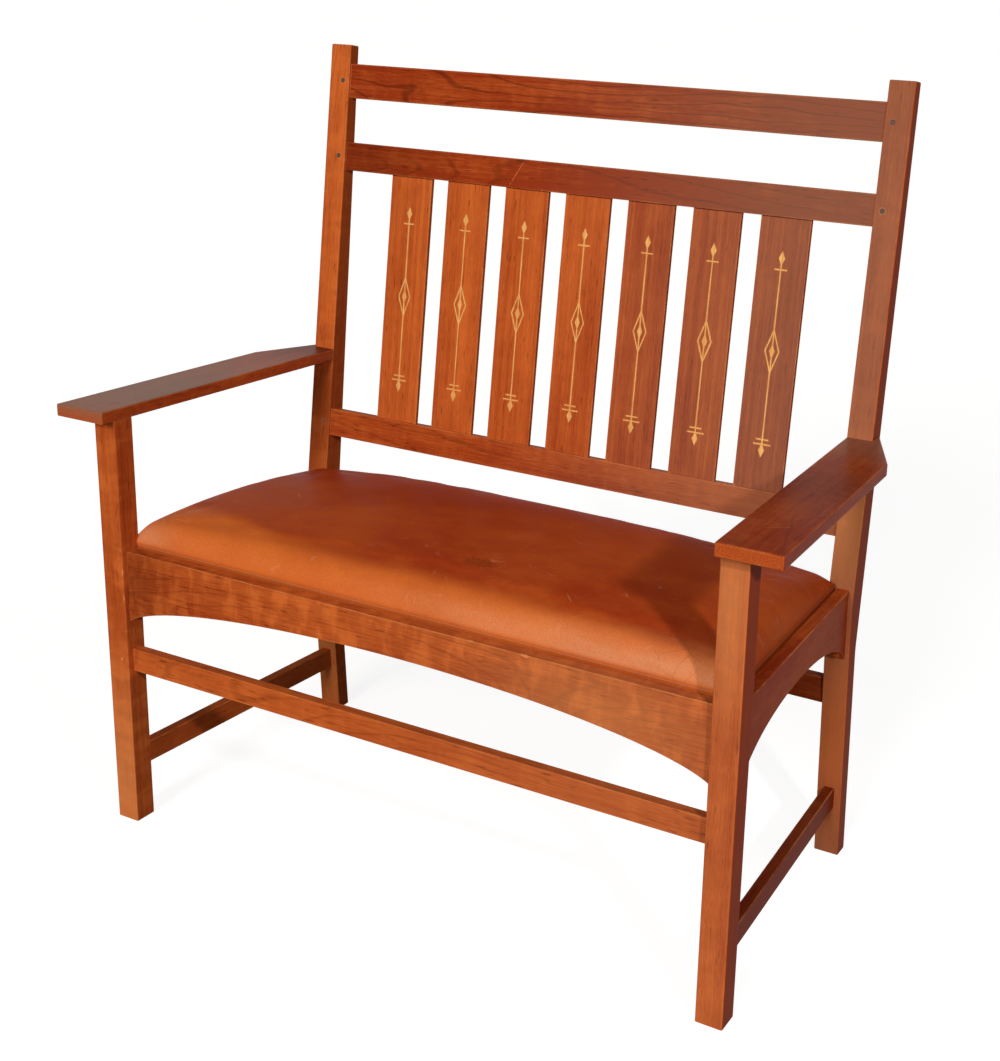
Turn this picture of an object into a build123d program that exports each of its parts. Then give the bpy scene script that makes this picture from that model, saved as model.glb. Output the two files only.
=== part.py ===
from build123d import *
import os
from math import atan, cos, degrees, hypot, pi, radians, sin, sqrt, tan

# A mission settle: bent back posts, seven inlaid slats, board arms, arched aprons and a leather drop-in seat.
# Millimetres. X runs across the settle, the front faces -Y, the floor is Z = 0, and Y = 0 is half way back.
# Left and right are as seen from the front, so left is -X.

os.makedirs("parts", exist_ok=True)

# The frame as a whole
front_width = 1010.0         # over the outer faces of the front posts
back_width = 968.0           # over the outer faces of the back posts
seat_depth = 438.0           # front faces of the front posts to the bend of the back posts
post_height = 1133.0         # floor to the tops of the back posts
rail_top = 434.0             # tops of the aprons and of the back seat rail
arm_top = 648.5              # upper faces of the arms

# Posts
post_width = 38.0            # across the settle, front and back alike
front_post_depth = 35.0
leg_depth = 27.0             # a back post below its rear bend
post_top_depth = 21.0        # a back post at its top
bend_height = 410.0          # bend in the front face of a back post
rear_bend_height = 335.0     # bend in its rear face
bend_radius = 150.0
foot_kick = 27.0             # the back feet stand this far behind the bend
back_lean = 7.0              # degrees, above the bend
post_round = 2.0             # eased edges of the posts
foot_chamfer = 1.2

# Aprons and the back seat rail
apron_thickness = 19.0
apron_setback = 9.0          # front apron behind the front faces of its posts
side_apron_setback = 6.5     # side aprons inside the outer faces of their posts
apron_bottom = 326.0         # at the ends, where the arch springs
arch_crown = 381.0           # height of the middle of each arch
arch_rise = 70.0             # upright half axis of the arch's ellipse
back_rail_height = 74.0
back_rail_setback = 1.0      # back seat rail behind the bend

# Stretchers
stretcher_thickness = 16.0
front_stretcher_bottom = 245.5
front_stretcher_height = 35.5
front_stretcher_setback = 11.0
side_stretcher_bottom = 80.0
side_stretcher_height = 33.5
side_stretcher_setback = 10.0
back_stretcher_bottom = 247.0
back_stretcher_height = 40.0

# Mortise and tenon joints
tenon_length = 15.0
back_tenon_length = 22.0     # tenons of the back rails, long enough for pegs through them
tenon_thickness = 8.0
tenon_shoulder = 9.0         # cut off the top and bottom of a tall tenon
stretcher_shoulder = 5.0     # cut off the top and bottom of a stretcher's tenon
mortise_gap = 1.0            # room past the end of a tenon
butt_overlap = 8.0           # a board is run this far into a bent post, then cut back to its face
edge_ease = 1.2              # eased edges of aprons, rails and stretchers

# Leaning back, measured along the posts
crest_drop = 29.0            # tops of the posts down to the crest rail
crest_height = 53.5
crest_gap = 69.5             # crest rail down to the middle rail
middle_rail_height = 44.5
lower_rail_rise = 96.4       # lower edge of the lower rail above the bend
lower_rail_height = 44.5
back_rail_thickness = 16.0
back_rail_inset = 3.5        # rails behind the front faces of the posts
back_tenon_shoulder = 7.0

# Slats and their inlay
slat_count = 7
slat_width = 76.0
slat_pitch = 106.0
slat_thickness = 7.0
slat_inset = 4.5             # slats behind the front faces of the rails
slat_housing = 8.0           # depth of a slat's end in a rail
slat_shoulder = 4.0          # cut off each edge of that end
slat_ease = 0.8
inlay_depth = 0.8
inlay_line = 1.8             # width of the inlaid lines
inlay_end_gap = 47.5         # tips of the inlay to the rails
lozenge_half_width = 11.5
lozenge_half_height = 33.0
lozenge_rise = 6.0           # centre of the open lozenge above the middle of the slat
heart_half_width = 4.2       # solid diamond inside the lozenge
heart_half_height = 11.0
tip_half_width = 4.6         # solid diamonds at both ends of the line
tip_half_height = 10.0
bar_length = 19.0            # short cross bar near each end
bar_offset = 26.0            # from the tip to that bar
foot_bar_length = 27.0       # longer bar under the lower cross bar
foot_bar_gap = 7.0

# Pegs through the tenons of the back rails
peg_diameter = 8.0
peg_length = 17.0
peg_offset = 12.0            # from a post's inner face
peg_proud = 0.3

# Arms
arm_thickness = 18.0
arm_width = 86.0
arm_overhang = 21.5          # in front of the front posts
arm_taper_length = 86.0      # diagonal cut, measured forward of the back post's front face
arm_tip_gap = 2.0            # tip of the diagonal short of the post's rear face
arm_round = 2.0
arm_tenon_size = 20.0
arm_tenon_height = 12.0
dowel_diameter = 8.0
dowel_in_arm = 25.0
dowel_in_post = 12.0
dowel_spacing = 18.0

# Seat cleats, corner blocks and their screws
seat_rest_drop = 19.0        # tops of the cleats below the rails
cleat_width = 18.0
cleat_height = 20.0
corner_block_leg = 60.0
corner_block_height = 24.0
corner_block_drop = 1.0      # tops of the blocks below the cleats, clear of the dust cover
screw_diameter = 4.0
screw_head_diameter = 8.0
screw_head_height = 2.5
screw_grip = 12.0            # length in the rail
block_screw_seat = 12.0      # wood of the block under the screw's head
block_screw_offset = 24.0    # from the post's face
block_screw_stagger = 5.5    # one screw above and one below the middle of a block
front_screw_count = 5
side_screw_count = 3

# Drop-in seat
seat_gap = 1.0               # all round, between the leather and the rails
leather_thickness = 1.6
seat_frame_thickness = 20.0
seat_member_width = 60.0
seat_tenon_length = 14.0
seat_tenon_thickness = 7.0
seat_tenon_shoulder = 12.0   # cut off each edge of a seat member's tenon
webbing_width = 50.0
webbing_thickness = 1.2
webbing_count = 11
webbing_lap = 42.0           # length of a strap that lies on a seat member
seat_proud = 5.0             # straight edge of the seat above the rails
edge_roll_middle = 46.0      # radius of the front and back rolls at the middle of the seat
edge_roll_end = 32.0         # and near its ends
crown_slope_middle = 12.0    # degrees, where the crown meets the roll
crown_slope_end = 5.5
leather_hem = 34.0           # turned under the seat frame
dust_cover_thickness = 0.6
dust_cover_inset = 22.0      # from the edge of the seat
tack_head_diameter = 9.0
tack_head_height = 1.4
tack_shank_diameter = 1.8
tack_shank_length = 10.0
tack_inset = 28.0
tack_pitch = 75.0

# Shares of a whole: where along the seat's crown its cross-sections stand, and how steep its end rolls are cut
crown_shares = (0.0, 0.25, 0.5, 0.75)
roll_angle_shares = (0.28, 0.56, 0.8, 1.0)
least_lift_share = 0.15

# Places that follow from the sizes above
lean = radians(back_lean)
lean_run = (post_height - bend_height) * tan(lean)
overall_depth = arm_overhang + seat_depth + lean_run + post_top_depth * cos(lean)
front_y = arm_overhang - overall_depth / 2
bend_y = front_y + seat_depth
side_slope = (front_width - back_width) / 2 / seat_depth
side_angle = atan(side_slope)
front_post_x = (front_width / 2 - post_width, front_width / 2)
front_post_y = (front_y, front_y + front_post_depth)
back_post_x = (back_width / 2 - post_width, back_width / 2)
arm_bottom = arm_top - arm_thickness
back_plane = Plane(origin=(0, bend_y, bend_height), x_dir=(1, 0, 0), z_dir=(0, -cos(lean), sin(lean)))


def middle(span, size):
    """A span of the given size, centred in another."""
    centre = (span[0] + span[1]) / 2
    return centre - size / 2, centre + size / 2


def trimmed(span, cut):
    """A span with the same length cut off both ends."""
    return span[0] + cut, span[1] - cut


def block(x, y, z, mode=Mode.ADD):
    """A box between pairs of faces."""
    with Locations(((x[0] + x[1]) / 2, (y[0] + y[1]) / 2, (z[0] + z[1]) / 2)):
        Box(x[1] - x[0], y[1] - y[0], z[1] - z[0], mode=mode)


def lean_block(x, up, depth, mode=Mode.ADD):
    """A box in the leaning back: up runs along the posts, depth lies behind their front faces."""
    with Locations(back_plane):
        with Locations(((x[0] + x[1]) / 2, (up[0] + up[1]) / 2, -(depth[0] + depth[1]) / 2)):
            Box(x[1] - x[0], up[1] - up[0], depth[1] - depth[0], mode=mode)


def plate(points, z, mode=Mode.ADD):
    """A plan outline raised between two heights."""
    with BuildSketch(Plane.XY.offset(z[0])) as plan:
        with BuildLine():
            Polyline(*points, close=True)
        make_face()
    extrude(plan.sketch, amount=z[1] - z[0], mode=mode)


def side_x(y, inset):
    """The line over the right-hand posts at depth y, moved inwards."""
    return front_width / 2 - (y - front_y) * side_slope - inset


def side_strip(y, inset, thickness, z, mode=Mode.ADD):
    """A board along the right-hand side, centred on the side line moved inwards by inset."""
    across = thickness / cos(side_angle) / 2
    plate(
        [
            (side_x(y[0], inset) + across, y[0]),
            (side_x(y[1], inset) + across, y[1]),
            (side_x(y[1], inset) - across, y[1]),
            (side_x(y[0], inset) - across, y[0]),
        ],
        z,
        mode,
    )


def leg_front(z):
    """Front face of a back post below its bend."""
    return bend_y + foot_kick * (bend_height - z) / bend_height


def post_rear(z):
    """Rear face of a back post above its rear bend."""
    low = leg_front(rear_bend_height) + leg_depth
    top_y = bend_y + lean_run + post_top_depth * cos(lean)
    top_z = post_height - post_top_depth * sin(lean)
    return low + (top_y - low) * (z - rear_bend_height) / (top_z - rear_bend_height)


def arch(plane, span, depth):
    """Cuts an elliptical arch that springs at both ends of a span along the plane's x axis."""
    low = arch_crown - arch_rise
    half_axis = (span[1] - span[0]) / 2 / sqrt(1 - ((apron_bottom - low) / arch_rise) ** 2)
    with BuildSketch(plane) as curve:
        with Locations(((span[0] + span[1]) / 2, low)):
            Ellipse(half_axis, arch_rise)
    extrude(curve.sketch, amount=depth, both=True, mode=Mode.SUBTRACT)


def long_edges(piece):
    """The four edges that run the length of a board."""
    return piece.edges().sort_by(SortBy.LENGTH)[-4:]


def export(piece, name):
    piece.part.label = name
    export_step(piece.part, f"parts/{name}.step")


def export_pair(right, name):
    """Writes a right-hand piece and its mirror image."""
    export(right, f"{name}_right")
    with BuildPart() as left:
        mirror(right.part, about=Plane.YZ)
    export(left, f"{name}_left")


# Spans of the rails, aprons and stretchers
apron_y = (front_y + apron_setback, front_y + apron_setback + apron_thickness)
apron_z = (apron_bottom, rail_top)
side_apron_inset = side_apron_setback + apron_thickness / cos(side_angle) / 2
side_inner_inset = side_apron_setback + apron_thickness / cos(side_angle)
back_rail_y = (bend_y + back_rail_setback, bend_y + back_rail_setback + apron_thickness)
back_rail_z = (rail_top - back_rail_height, rail_top)
front_stretcher_y = (front_y + front_stretcher_setback, front_y + front_stretcher_setback + stretcher_thickness)
front_stretcher_z = (front_stretcher_bottom, front_stretcher_bottom + front_stretcher_height)
side_stretcher_z = (side_stretcher_bottom, side_stretcher_bottom + side_stretcher_height)
side_stretcher_inset = side_stretcher_setback + stretcher_thickness / 2
back_stretcher_z = (back_stretcher_bottom, back_stretcher_bottom + back_stretcher_height)
back_stretcher_mid = leg_front(back_stretcher_bottom + back_stretcher_height / 2) + leg_depth / 2
back_stretcher_y = middle((back_stretcher_mid, back_stretcher_mid), stretcher_thickness)

# Spans of the back, up the lean and behind the posts' front faces
crest_up = ((post_height - bend_height) / cos(lean) - crest_drop - crest_height,
            (post_height - bend_height) / cos(lean) - crest_drop)
middle_up = (crest_up[0] - crest_gap - middle_rail_height, crest_up[0] - crest_gap)
lower_up = (lower_rail_rise, lower_rail_rise + lower_rail_height)
slat_up = (lower_up[1], middle_up[0])
rail_depth = (back_rail_inset, back_rail_inset + back_rail_thickness)
slat_depth = (back_rail_inset + slat_inset, back_rail_inset + slat_inset + slat_thickness)
back_rails = {"crest_rail": crest_up, "middle_back_rail": middle_up, "lower_back_rail": lower_up}

# Tenons that run across the settle, as spans in Y and Z; their mortises take the same spans
across_front = [
    (middle(apron_y, tenon_thickness), trimmed(apron_z, tenon_shoulder)),
    (middle(front_stretcher_y, tenon_thickness), trimmed(front_stretcher_z, stretcher_shoulder)),
]
across_back = [
    (middle(back_rail_y, tenon_thickness), trimmed(back_rail_z, tenon_shoulder)),
    (middle(back_stretcher_y, tenon_thickness), trimmed(back_stretcher_z, stretcher_shoulder)),
]
# Tenons that run back along the sides, as inset, span in Z and the back post's face there
along_side = [
    (side_apron_inset, trimmed(apron_z, tenon_shoulder), bend_y),
    (side_stretcher_inset, trimmed(side_stretcher_z, stretcher_shoulder),
     leg_front(side_stretcher_bottom + side_stretcher_height / 2)),
]

# A back post before its edges are eased: the boards that meet it are cut back to this
foot_front = (leg_front(0), 0)
bend = (bend_y, bend_height)
top_front = (bend_y + lean_run, post_height)
top_rear = (top_front[0] + post_top_depth * cos(lean), post_height - post_top_depth * sin(lean))
rear_bend = (leg_front(rear_bend_height) + leg_depth, rear_bend_height)
foot_rear = (leg_front(0) + leg_depth, 0)
with BuildPart() as post_blank:
    with BuildSketch(Plane.YZ.offset(back_post_x[0])) as profile:
        with BuildLine():
            Polyline(foot_front, bend, top_front, top_rear, rear_bend, foot_rear, close=True)
        make_face()
        for corner in (bend, rear_bend):
            fillet(profile.vertices().sort_by_distance(corner)[0], bend_radius)
    extrude(amount=post_width)


def pegs(sides, mode=Mode.ADD):
    """Pegs through the tenons of the back rails, or the holes for them; sides is 1 for right and -1 for left."""
    with Locations(back_plane):
        for up in back_rails.values():
            for side in sides:
                with Locations((side * (back_post_x[0] + peg_offset), (up[0] + up[1]) / 2,
                                (peg_proud - peg_length) / 2)):
                    Cylinder(peg_diameter / 2, peg_length + peg_proud, mode=mode)


# Arm dowels, from the arm's end into the front face of the back post
arm_seat_y = bend_y + (arm_bottom - bend_height) * tan(lean)
arm_mid_z = (arm_bottom + arm_top) / 2
arm_end_y = bend_y + (arm_mid_z - bend_height) * tan(lean)
dowel_x = middle(back_post_x, dowel_spacing)


def dowels(mode=Mode.ADD):
    """The right arm's two dowels, or the holes for them."""
    for x in dowel_x:
        with Locations((x, arm_end_y + (dowel_in_post - dowel_in_arm) / 2, arm_mid_z)):
            Cylinder(dowel_diameter / 2, dowel_in_post + dowel_in_arm, rotation=(90, 0, 0), mode=mode)


def arm_tenon(mode=Mode.ADD):
    """The stub tenon on top of the right front post, or its mortise."""
    block(middle(front_post_x, arm_tenon_size), middle(front_post_y, arm_tenon_size),
          (arm_bottom, arm_bottom + arm_tenon_height), mode)


def screws(spots, length, mode=Mode.ADD):
    """Countersunk screws, or the holes for them: each spot's plane lies on the head and faces out of the wood."""
    for spot in spots:
        with Locations(spot):
            with Locations((0, 0, -screw_head_height / 2)):
                Cone(screw_diameter / 2, screw_head_diameter / 2, screw_head_height, mode=mode)
            with Locations((0, 0, -(screw_head_height + length) / 2)):
                Cylinder(screw_diameter / 2, length - screw_head_height, mode=mode)


def spread(span, count):
    """Evenly spaced places in a span, half a space from its ends."""
    step = (span[1] - span[0]) / count
    return [span[0] + step * (index + 1 / 2) for index in range(count)]


def facing(x, y, z, direction):
    """A plane at a point, facing along the floor."""
    return Plane(origin=(x, y, z), z_dir=direction)


# Cleats and corner blocks stand under the seat, against the insides of the rails
rest_z = rail_top - seat_rest_drop
cleat_z = (rest_z - cleat_height, rest_z)
block_z = (rest_z - corner_block_drop - corner_block_height, rest_z - corner_block_drop)
front_cleat_x = (corner_block_leg - front_post_x[0], front_post_x[0] - corner_block_leg)
back_cleat_x = (corner_block_leg - back_post_x[0], back_post_x[0] - corner_block_leg)
front_cleat_y = (apron_y[1], apron_y[1] + cleat_width)
back_cleat_y = (back_rail_y[0] - cleat_width, back_rail_y[0])
side_cleat_y = (front_post_y[1] + corner_block_leg, bend_y - corner_block_leg)
side_cleat_inset = side_inner_inset + cleat_width / cos(side_angle) / 2
cleat_mid_z = (cleat_z[0] + cleat_z[1]) / 2
to_front, to_back = (0, -1, 0), (0, 1, 0)
to_middle = (-cos(side_angle), -sin(side_angle), 0)
cleat_screw_length = cleat_width + screw_grip
front_cleat_spots = [
    facing(x, front_cleat_y[1], cleat_mid_z, to_back) for x in spread(front_cleat_x, front_screw_count)
]
back_cleat_spots = [
    facing(x, back_cleat_y[0], cleat_mid_z, to_front) for x in spread(back_cleat_x, front_screw_count)
]
side_cleat_spots = [
    facing(side_x(y, side_inner_inset + cleat_width / cos(side_angle)), y, cleat_mid_z, to_middle)
    for y in spread(side_cleat_y, side_screw_count)
]
block_screw_length = block_screw_seat + screw_grip
block_screw_high = (block_z[0] + block_z[1]) / 2 + block_screw_stagger
block_screw_low = (block_z[0] + block_z[1]) / 2 - block_screw_stagger
front_block_spots = [
    facing(front_post_x[0] - block_screw_offset, apron_y[1] + block_screw_seat, block_screw_high, to_back),
    facing(side_x(front_post_y[1] + block_screw_offset, side_inner_inset + block_screw_seat),
           front_post_y[1] + block_screw_offset, block_screw_low, to_middle),
]
back_block_spots = [
    facing(back_post_x[0] - block_screw_offset, back_rail_y[0] - block_screw_seat, block_screw_high, to_front),
    facing(side_x(bend_y - block_screw_offset, side_inner_inset + block_screw_seat),
           bend_y - block_screw_offset, block_screw_low, to_middle),
]


def both_sides(piece_builder, mode):
    """Adds or cuts a right-hand piece and its mirror image."""
    add(piece_builder.part, mode=mode)
    add(piece_builder.part.mirror(Plane.YZ), mode=mode)


# Screws of the right-hand half, with those along the middle of the front and back cleats
with BuildPart() as block_screws_right:
    screws(front_block_spots + back_block_spots, block_screw_length)
with BuildPart() as side_cleat_screws:
    screws(side_cleat_spots, cleat_screw_length)
with BuildPart() as corner_block_screws:
    both_sides(block_screws_right, Mode.ADD)
export(corner_block_screws, "corner_block_screws")
with BuildPart() as cleat_screws:
    screws(front_cleat_spots + back_cleat_spots, cleat_screw_length)
    both_sides(side_cleat_screws, Mode.ADD)
export(cleat_screws, "cleat_screws")

# Posts
with BuildPart() as front_post:
    block(front_post_x, front_post_y, (0, arm_bottom))
    fillet(front_post.edges().filter_by(Axis.Z), post_round)
    chamfer(front_post.faces().sort_by(Axis.Z)[0].edges(), foot_chamfer)
    arm_tenon()
    for span_y, span_z in across_front:
        block((front_post_x[0], front_post_x[0] + tenon_length + mortise_gap), span_y, span_z, Mode.SUBTRACT)
    for inset, span_z, _ in along_side:
        side_strip((front_post_y[1] - tenon_length - mortise_gap, front_post_y[1]), inset,
                   tenon_thickness, span_z, Mode.SUBTRACT)
export_pair(front_post, "front_post")

with BuildPart() as back_post:
    add(post_blank.part)
    fillet(back_post.edges(), post_round)
    for span_y, span_z in across_back:
        block((back_post_x[0], back_post_x[0] + tenon_length + mortise_gap), span_y, span_z, Mode.SUBTRACT)
    for up in back_rails.values():
        lean_block((back_post_x[0], back_post_x[0] + back_tenon_length + mortise_gap),
                   trimmed(up, back_tenon_shoulder), middle(rail_depth, tenon_thickness), Mode.SUBTRACT)
    for inset, span_z, face_y in along_side:
        side_strip((face_y - butt_overlap, face_y + tenon_length + mortise_gap), inset,
                   tenon_thickness, span_z, Mode.SUBTRACT)
    pegs((1,), Mode.SUBTRACT)
    dowels(Mode.SUBTRACT)
export_pair(back_post, "back_post")


def cross_tenons(inner_x, span_y, span_z):
    """Tenons on both ends of a board that spans between two posts."""
    block((inner_x, inner_x + tenon_length), span_y, span_z)
    block((-inner_x - tenon_length, -inner_x), span_y, span_z)


# Aprons, seat rail and stretchers that run across the settle
with BuildPart() as front_apron:
    block((-front_post_x[0], front_post_x[0]), apron_y, apron_z)
    arch(Plane.XZ.offset(-(apron_y[0] + apron_y[1]) / 2), (-front_post_x[0], front_post_x[0]), apron_thickness)
    fillet(long_edges(front_apron), edge_ease)
    cross_tenons(front_post_x[0], *across_front[0])
    add(cleat_screws.part, mode=Mode.SUBTRACT)
    add(corner_block_screws.part, mode=Mode.SUBTRACT)
export(front_apron, "front_apron")

with BuildPart() as back_seat_rail:
    block((-back_post_x[0], back_post_x[0]), back_rail_y, back_rail_z)
    fillet(long_edges(back_seat_rail), edge_ease)
    cross_tenons(back_post_x[0], *across_back[0])
    add(cleat_screws.part, mode=Mode.SUBTRACT)
    add(corner_block_screws.part, mode=Mode.SUBTRACT)
export(back_seat_rail, "back_seat_rail")

with BuildPart() as front_stretcher:
    block((-front_post_x[0], front_post_x[0]), front_stretcher_y, front_stretcher_z)
    fillet(long_edges(front_stretcher), edge_ease)
    cross_tenons(front_post_x[0], *across_front[1])
export(front_stretcher, "front_stretcher")

with BuildPart() as back_stretcher:
    block((-back_post_x[0], back_post_x[0]), back_stretcher_y, back_stretcher_z)
    fillet(long_edges(back_stretcher), edge_ease)
    cross_tenons(back_post_x[0], *across_back[1])
export(back_stretcher, "back_stretcher")

# Side aprons and side stretchers, cut back to the bent face of the back post
with BuildPart() as side_apron:
    side_strip((front_post_y[1], bend_y + butt_overlap), side_apron_inset, apron_thickness, apron_z)
    arch(Plane.YZ, (front_post_y[1], leg_front(apron_bottom)), front_width / 2)
    add(post_blank.part, mode=Mode.SUBTRACT)
    fillet(long_edges(side_apron), edge_ease)
    side_strip((front_post_y[1] - tenon_length, front_post_y[1]), side_apron_inset,
               tenon_thickness, trimmed(apron_z, tenon_shoulder))
    side_strip((bend_y - butt_overlap, bend_y + tenon_length), side_apron_inset,
               tenon_thickness, trimmed(apron_z, tenon_shoulder))
    add(side_cleat_screws.part, mode=Mode.SUBTRACT)
    add(block_screws_right.part, mode=Mode.SUBTRACT)
export_pair(side_apron, "side_apron")

side_leg_y = along_side[1][2]
with BuildPart() as side_stretcher:
    side_strip((front_post_y[1], side_leg_y + butt_overlap), side_stretcher_inset, stretcher_thickness,
               side_stretcher_z)
    add(post_blank.part, mode=Mode.SUBTRACT)
    fillet(long_edges(side_stretcher), edge_ease)
    side_strip((front_post_y[1] - tenon_length, front_post_y[1]), side_stretcher_inset,
               tenon_thickness, trimmed(side_stretcher_z, stretcher_shoulder))
    side_strip((side_leg_y - butt_overlap, side_leg_y + tenon_length), side_stretcher_inset,
               tenon_thickness, trimmed(side_stretcher_z, stretcher_shoulder))
export_pair(side_stretcher, "side_stretcher")

# Slats and their inlay
slat_x = [(index - (slat_count - 1) / 2) * slat_pitch for index in range(slat_count)]
slat_face = back_plane.offset(-slat_depth[0])
slat_mid_up = (slat_up[0] + slat_up[1]) / 2


def inlay_figure(x):
    """An upright line with an open lozenge and cross bars on it, and a small diamond at each end."""
    low, top = trimmed(slat_up, inlay_end_gap)
    lozenge_up = slat_mid_up + lozenge_rise

    def diamond(up, half_width, half_height, mode=Mode.ADD):
        with Locations((x, up)):
            Polygon((0, half_height), (-half_width, 0), (0, -half_height), (half_width, 0), mode=mode)

    def bar(up, length):
        with Locations((x, up)):
            Rectangle(length, inlay_line)

    with BuildSketch(slat_face) as figure:
        hole_scale = 1 - inlay_line * hypot(1 / lozenge_half_width, 1 / lozenge_half_height)
        diamond(lozenge_up, lozenge_half_width, lozenge_half_height)
        diamond(lozenge_up, lozenge_half_width * hole_scale, lozenge_half_height * hole_scale, Mode.SUBTRACT)
        diamond(lozenge_up, heart_half_width, heart_half_height)
        diamond(top - tip_half_height, tip_half_width, tip_half_height)
        diamond(low + tip_half_height, tip_half_width, tip_half_height)
        bar(top - bar_offset, bar_length)
        bar(low + bar_offset, bar_length)
        bar(low + bar_offset - foot_bar_gap, foot_bar_length)
        with Locations((x, slat_mid_up)):
            Rectangle(inlay_line, top - low - tip_half_height)
    return figure.sketch


for number, x in enumerate(slat_x, start=1):
    figure = inlay_figure(x)
    with BuildPart() as slat:
        lean_block(middle((x, x), slat_width), slat_up, slat_depth)
        fillet(long_edges(slat), slat_ease)
        lean_block(middle((x, x), slat_width - 2 * slat_shoulder), trimmed(slat_up, -slat_housing), slat_depth)
        extrude(figure, amount=-inlay_depth, mode=Mode.SUBTRACT)
    export(slat, f"slat_{number}")
    with BuildPart() as slat_inlay:
        extrude(figure, amount=-inlay_depth)
    export(slat_inlay, f"slat_inlay_{number}")

# Back rails
for name, up in back_rails.items():
    with BuildPart() as back_rail:
        lean_block((-back_post_x[0], back_post_x[0]), up, rail_depth)
        fillet(long_edges(back_rail), edge_ease)
        lean_block((-back_post_x[0] - back_tenon_length, back_post_x[0] + back_tenon_length),
                   trimmed(up, back_tenon_shoulder), middle(rail_depth, tenon_thickness))
        for x in slat_x:
            lean_block(middle((x, x), slat_width - 2 * slat_shoulder),
                       trimmed(slat_up, -slat_housing - mortise_gap), slat_depth, Mode.SUBTRACT)
        pegs((-1, 1), Mode.SUBTRACT)
    export(back_rail, name)

with BuildPart() as back_rail_pegs:
    pegs((-1, 1))
export(back_rail_pegs, "back_rail_pegs")

# Arms: the inner edge runs flush with the inner faces of the posts
arm_slope = (front_width - back_width) / 2 / (arm_seat_y - front_y)
arm_front_y = front_y - arm_overhang
arm_taper_y = arm_seat_y - arm_taper_length
arm_tip_y = post_rear(arm_bottom) - arm_tip_gap
notch_y = arm_seat_y + butt_overlap


def arm_x(y, out):
    """A line out from the inner edge of the right arm."""
    return front_post_x[0] - (y - front_y) * arm_slope + out


with BuildPart() as arm:
    plate(
        [
            (arm_x(arm_front_y, 0), arm_front_y),
            (arm_x(arm_front_y, arm_width), arm_front_y),
            (arm_x(arm_taper_y, arm_width), arm_taper_y),
            (back_post_x[1], arm_tip_y),
            (back_post_x[1], notch_y),
            (back_post_x[0], notch_y),
            (back_post_x[0], arm_seat_y),
        ],
        (arm_bottom, arm_top),
    )
    free_edges = arm.edges().filter_by(lambda edge: edge.center().Y < arm_seat_y - butt_overlap)
    fillet(free_edges, arm_round)
    add(post_blank.part, mode=Mode.SUBTRACT)
    arm_tenon(Mode.SUBTRACT)
    dowels(Mode.SUBTRACT)
export_pair(arm, "arm")

with BuildPart() as arm_dowels_right:
    dowels()
with BuildPart() as arm_dowels:
    both_sides(arm_dowels_right, Mode.ADD)
export(arm_dowels, "arm_dowels")

# Seat cleats
with BuildPart() as seat_cleat_front:
    block(front_cleat_x, front_cleat_y, cleat_z)
    add(cleat_screws.part, mode=Mode.SUBTRACT)
export(seat_cleat_front, "seat_cleat_front")

with BuildPart() as seat_cleat_back:
    block(back_cleat_x, back_cleat_y, cleat_z)
    add(cleat_screws.part, mode=Mode.SUBTRACT)
export(seat_cleat_back, "seat_cleat_back")

with BuildPart() as seat_cleat:
    side_strip(side_cleat_y, side_cleat_inset, cleat_width, cleat_z)
    add(side_cleat_screws.part, mode=Mode.SUBTRACT)
export_pair(seat_cleat, "seat_cleat")


# Corner blocks, fitted round the posts and counterbored for their screws
def counterbores(spots):
    """Clears the way to each screw's head."""
    for spot in spots:
        with Locations(spot):
            with Locations((0, 0, corner_block_leg / 2)):
                Cylinder(screw_head_diameter / 2, corner_block_leg, mode=Mode.SUBTRACT)


with BuildPart() as front_corner_block:
    plate(
        [
            (front_post_x[0] - corner_block_leg, apron_y[1]),
            (front_post_x[0], apron_y[1]),
            (front_post_x[0], front_post_y[1]),
            (side_x(front_post_y[1], side_inner_inset), front_post_y[1]),
            (side_x(side_cleat_y[0], side_inner_inset), side_cleat_y[0]),
        ],
        block_z,
    )
    counterbores(front_block_spots)
    add(block_screws_right.part, mode=Mode.SUBTRACT)
export_pair(front_corner_block, "front_corner_block")

with BuildPart() as back_corner_block:
    plate(
        [
            (back_post_x[0] - corner_block_leg, back_rail_y[0]),
            (back_post_x[0], back_rail_y[0]),
            (back_post_x[0], bend_y),
            (side_x(bend_y, side_inner_inset), bend_y),
            (side_x(side_cleat_y[1], side_inner_inset), side_cleat_y[1]),
        ],
        block_z,
    )
    counterbores(back_block_spots)
    add(block_screws_right.part, mode=Mode.SUBTRACT)
export_pair(back_corner_block, "back_corner_block")

# Drop-in seat: every layer keeps the same tapered outline, drawn in by its inset
seat_y = (front_y + apron_setback + apron_thickness + seat_gap, bend_y - seat_gap)
seat_side_inset = side_inner_inset + seat_gap
hem_z = rest_z + leather_thickness
seat_frame_z = (hem_z, hem_z + seat_frame_thickness)
webbing_z = (seat_frame_z[1], seat_frame_z[1] + webbing_thickness)
roll_base = rail_top + seat_proud


def seat_outline(inset):
    """Corners of the seat's plan, drawn in on every side."""
    span = trimmed(seat_y, inset)
    side = seat_side_inset + inset / cos(side_angle)
    return [
        (side_x(span[0], side), span[0]),
        (side_x(span[1], side), span[1]),
        (-side_x(span[1], side), span[1]),
        (-side_x(span[0], side), span[0]),
    ]


def post_notches(inset):
    """Cuts the seat's front corners away round the front posts."""
    for side in (-1, 1):
        outer = side * front_width
        near = side * (front_post_x[0] - seat_gap - inset)
        block((min(near, outer), max(near, outer)), (front_y, front_post_y[1] + seat_gap + inset),
              (0, arm_top), Mode.SUBTRACT)


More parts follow.
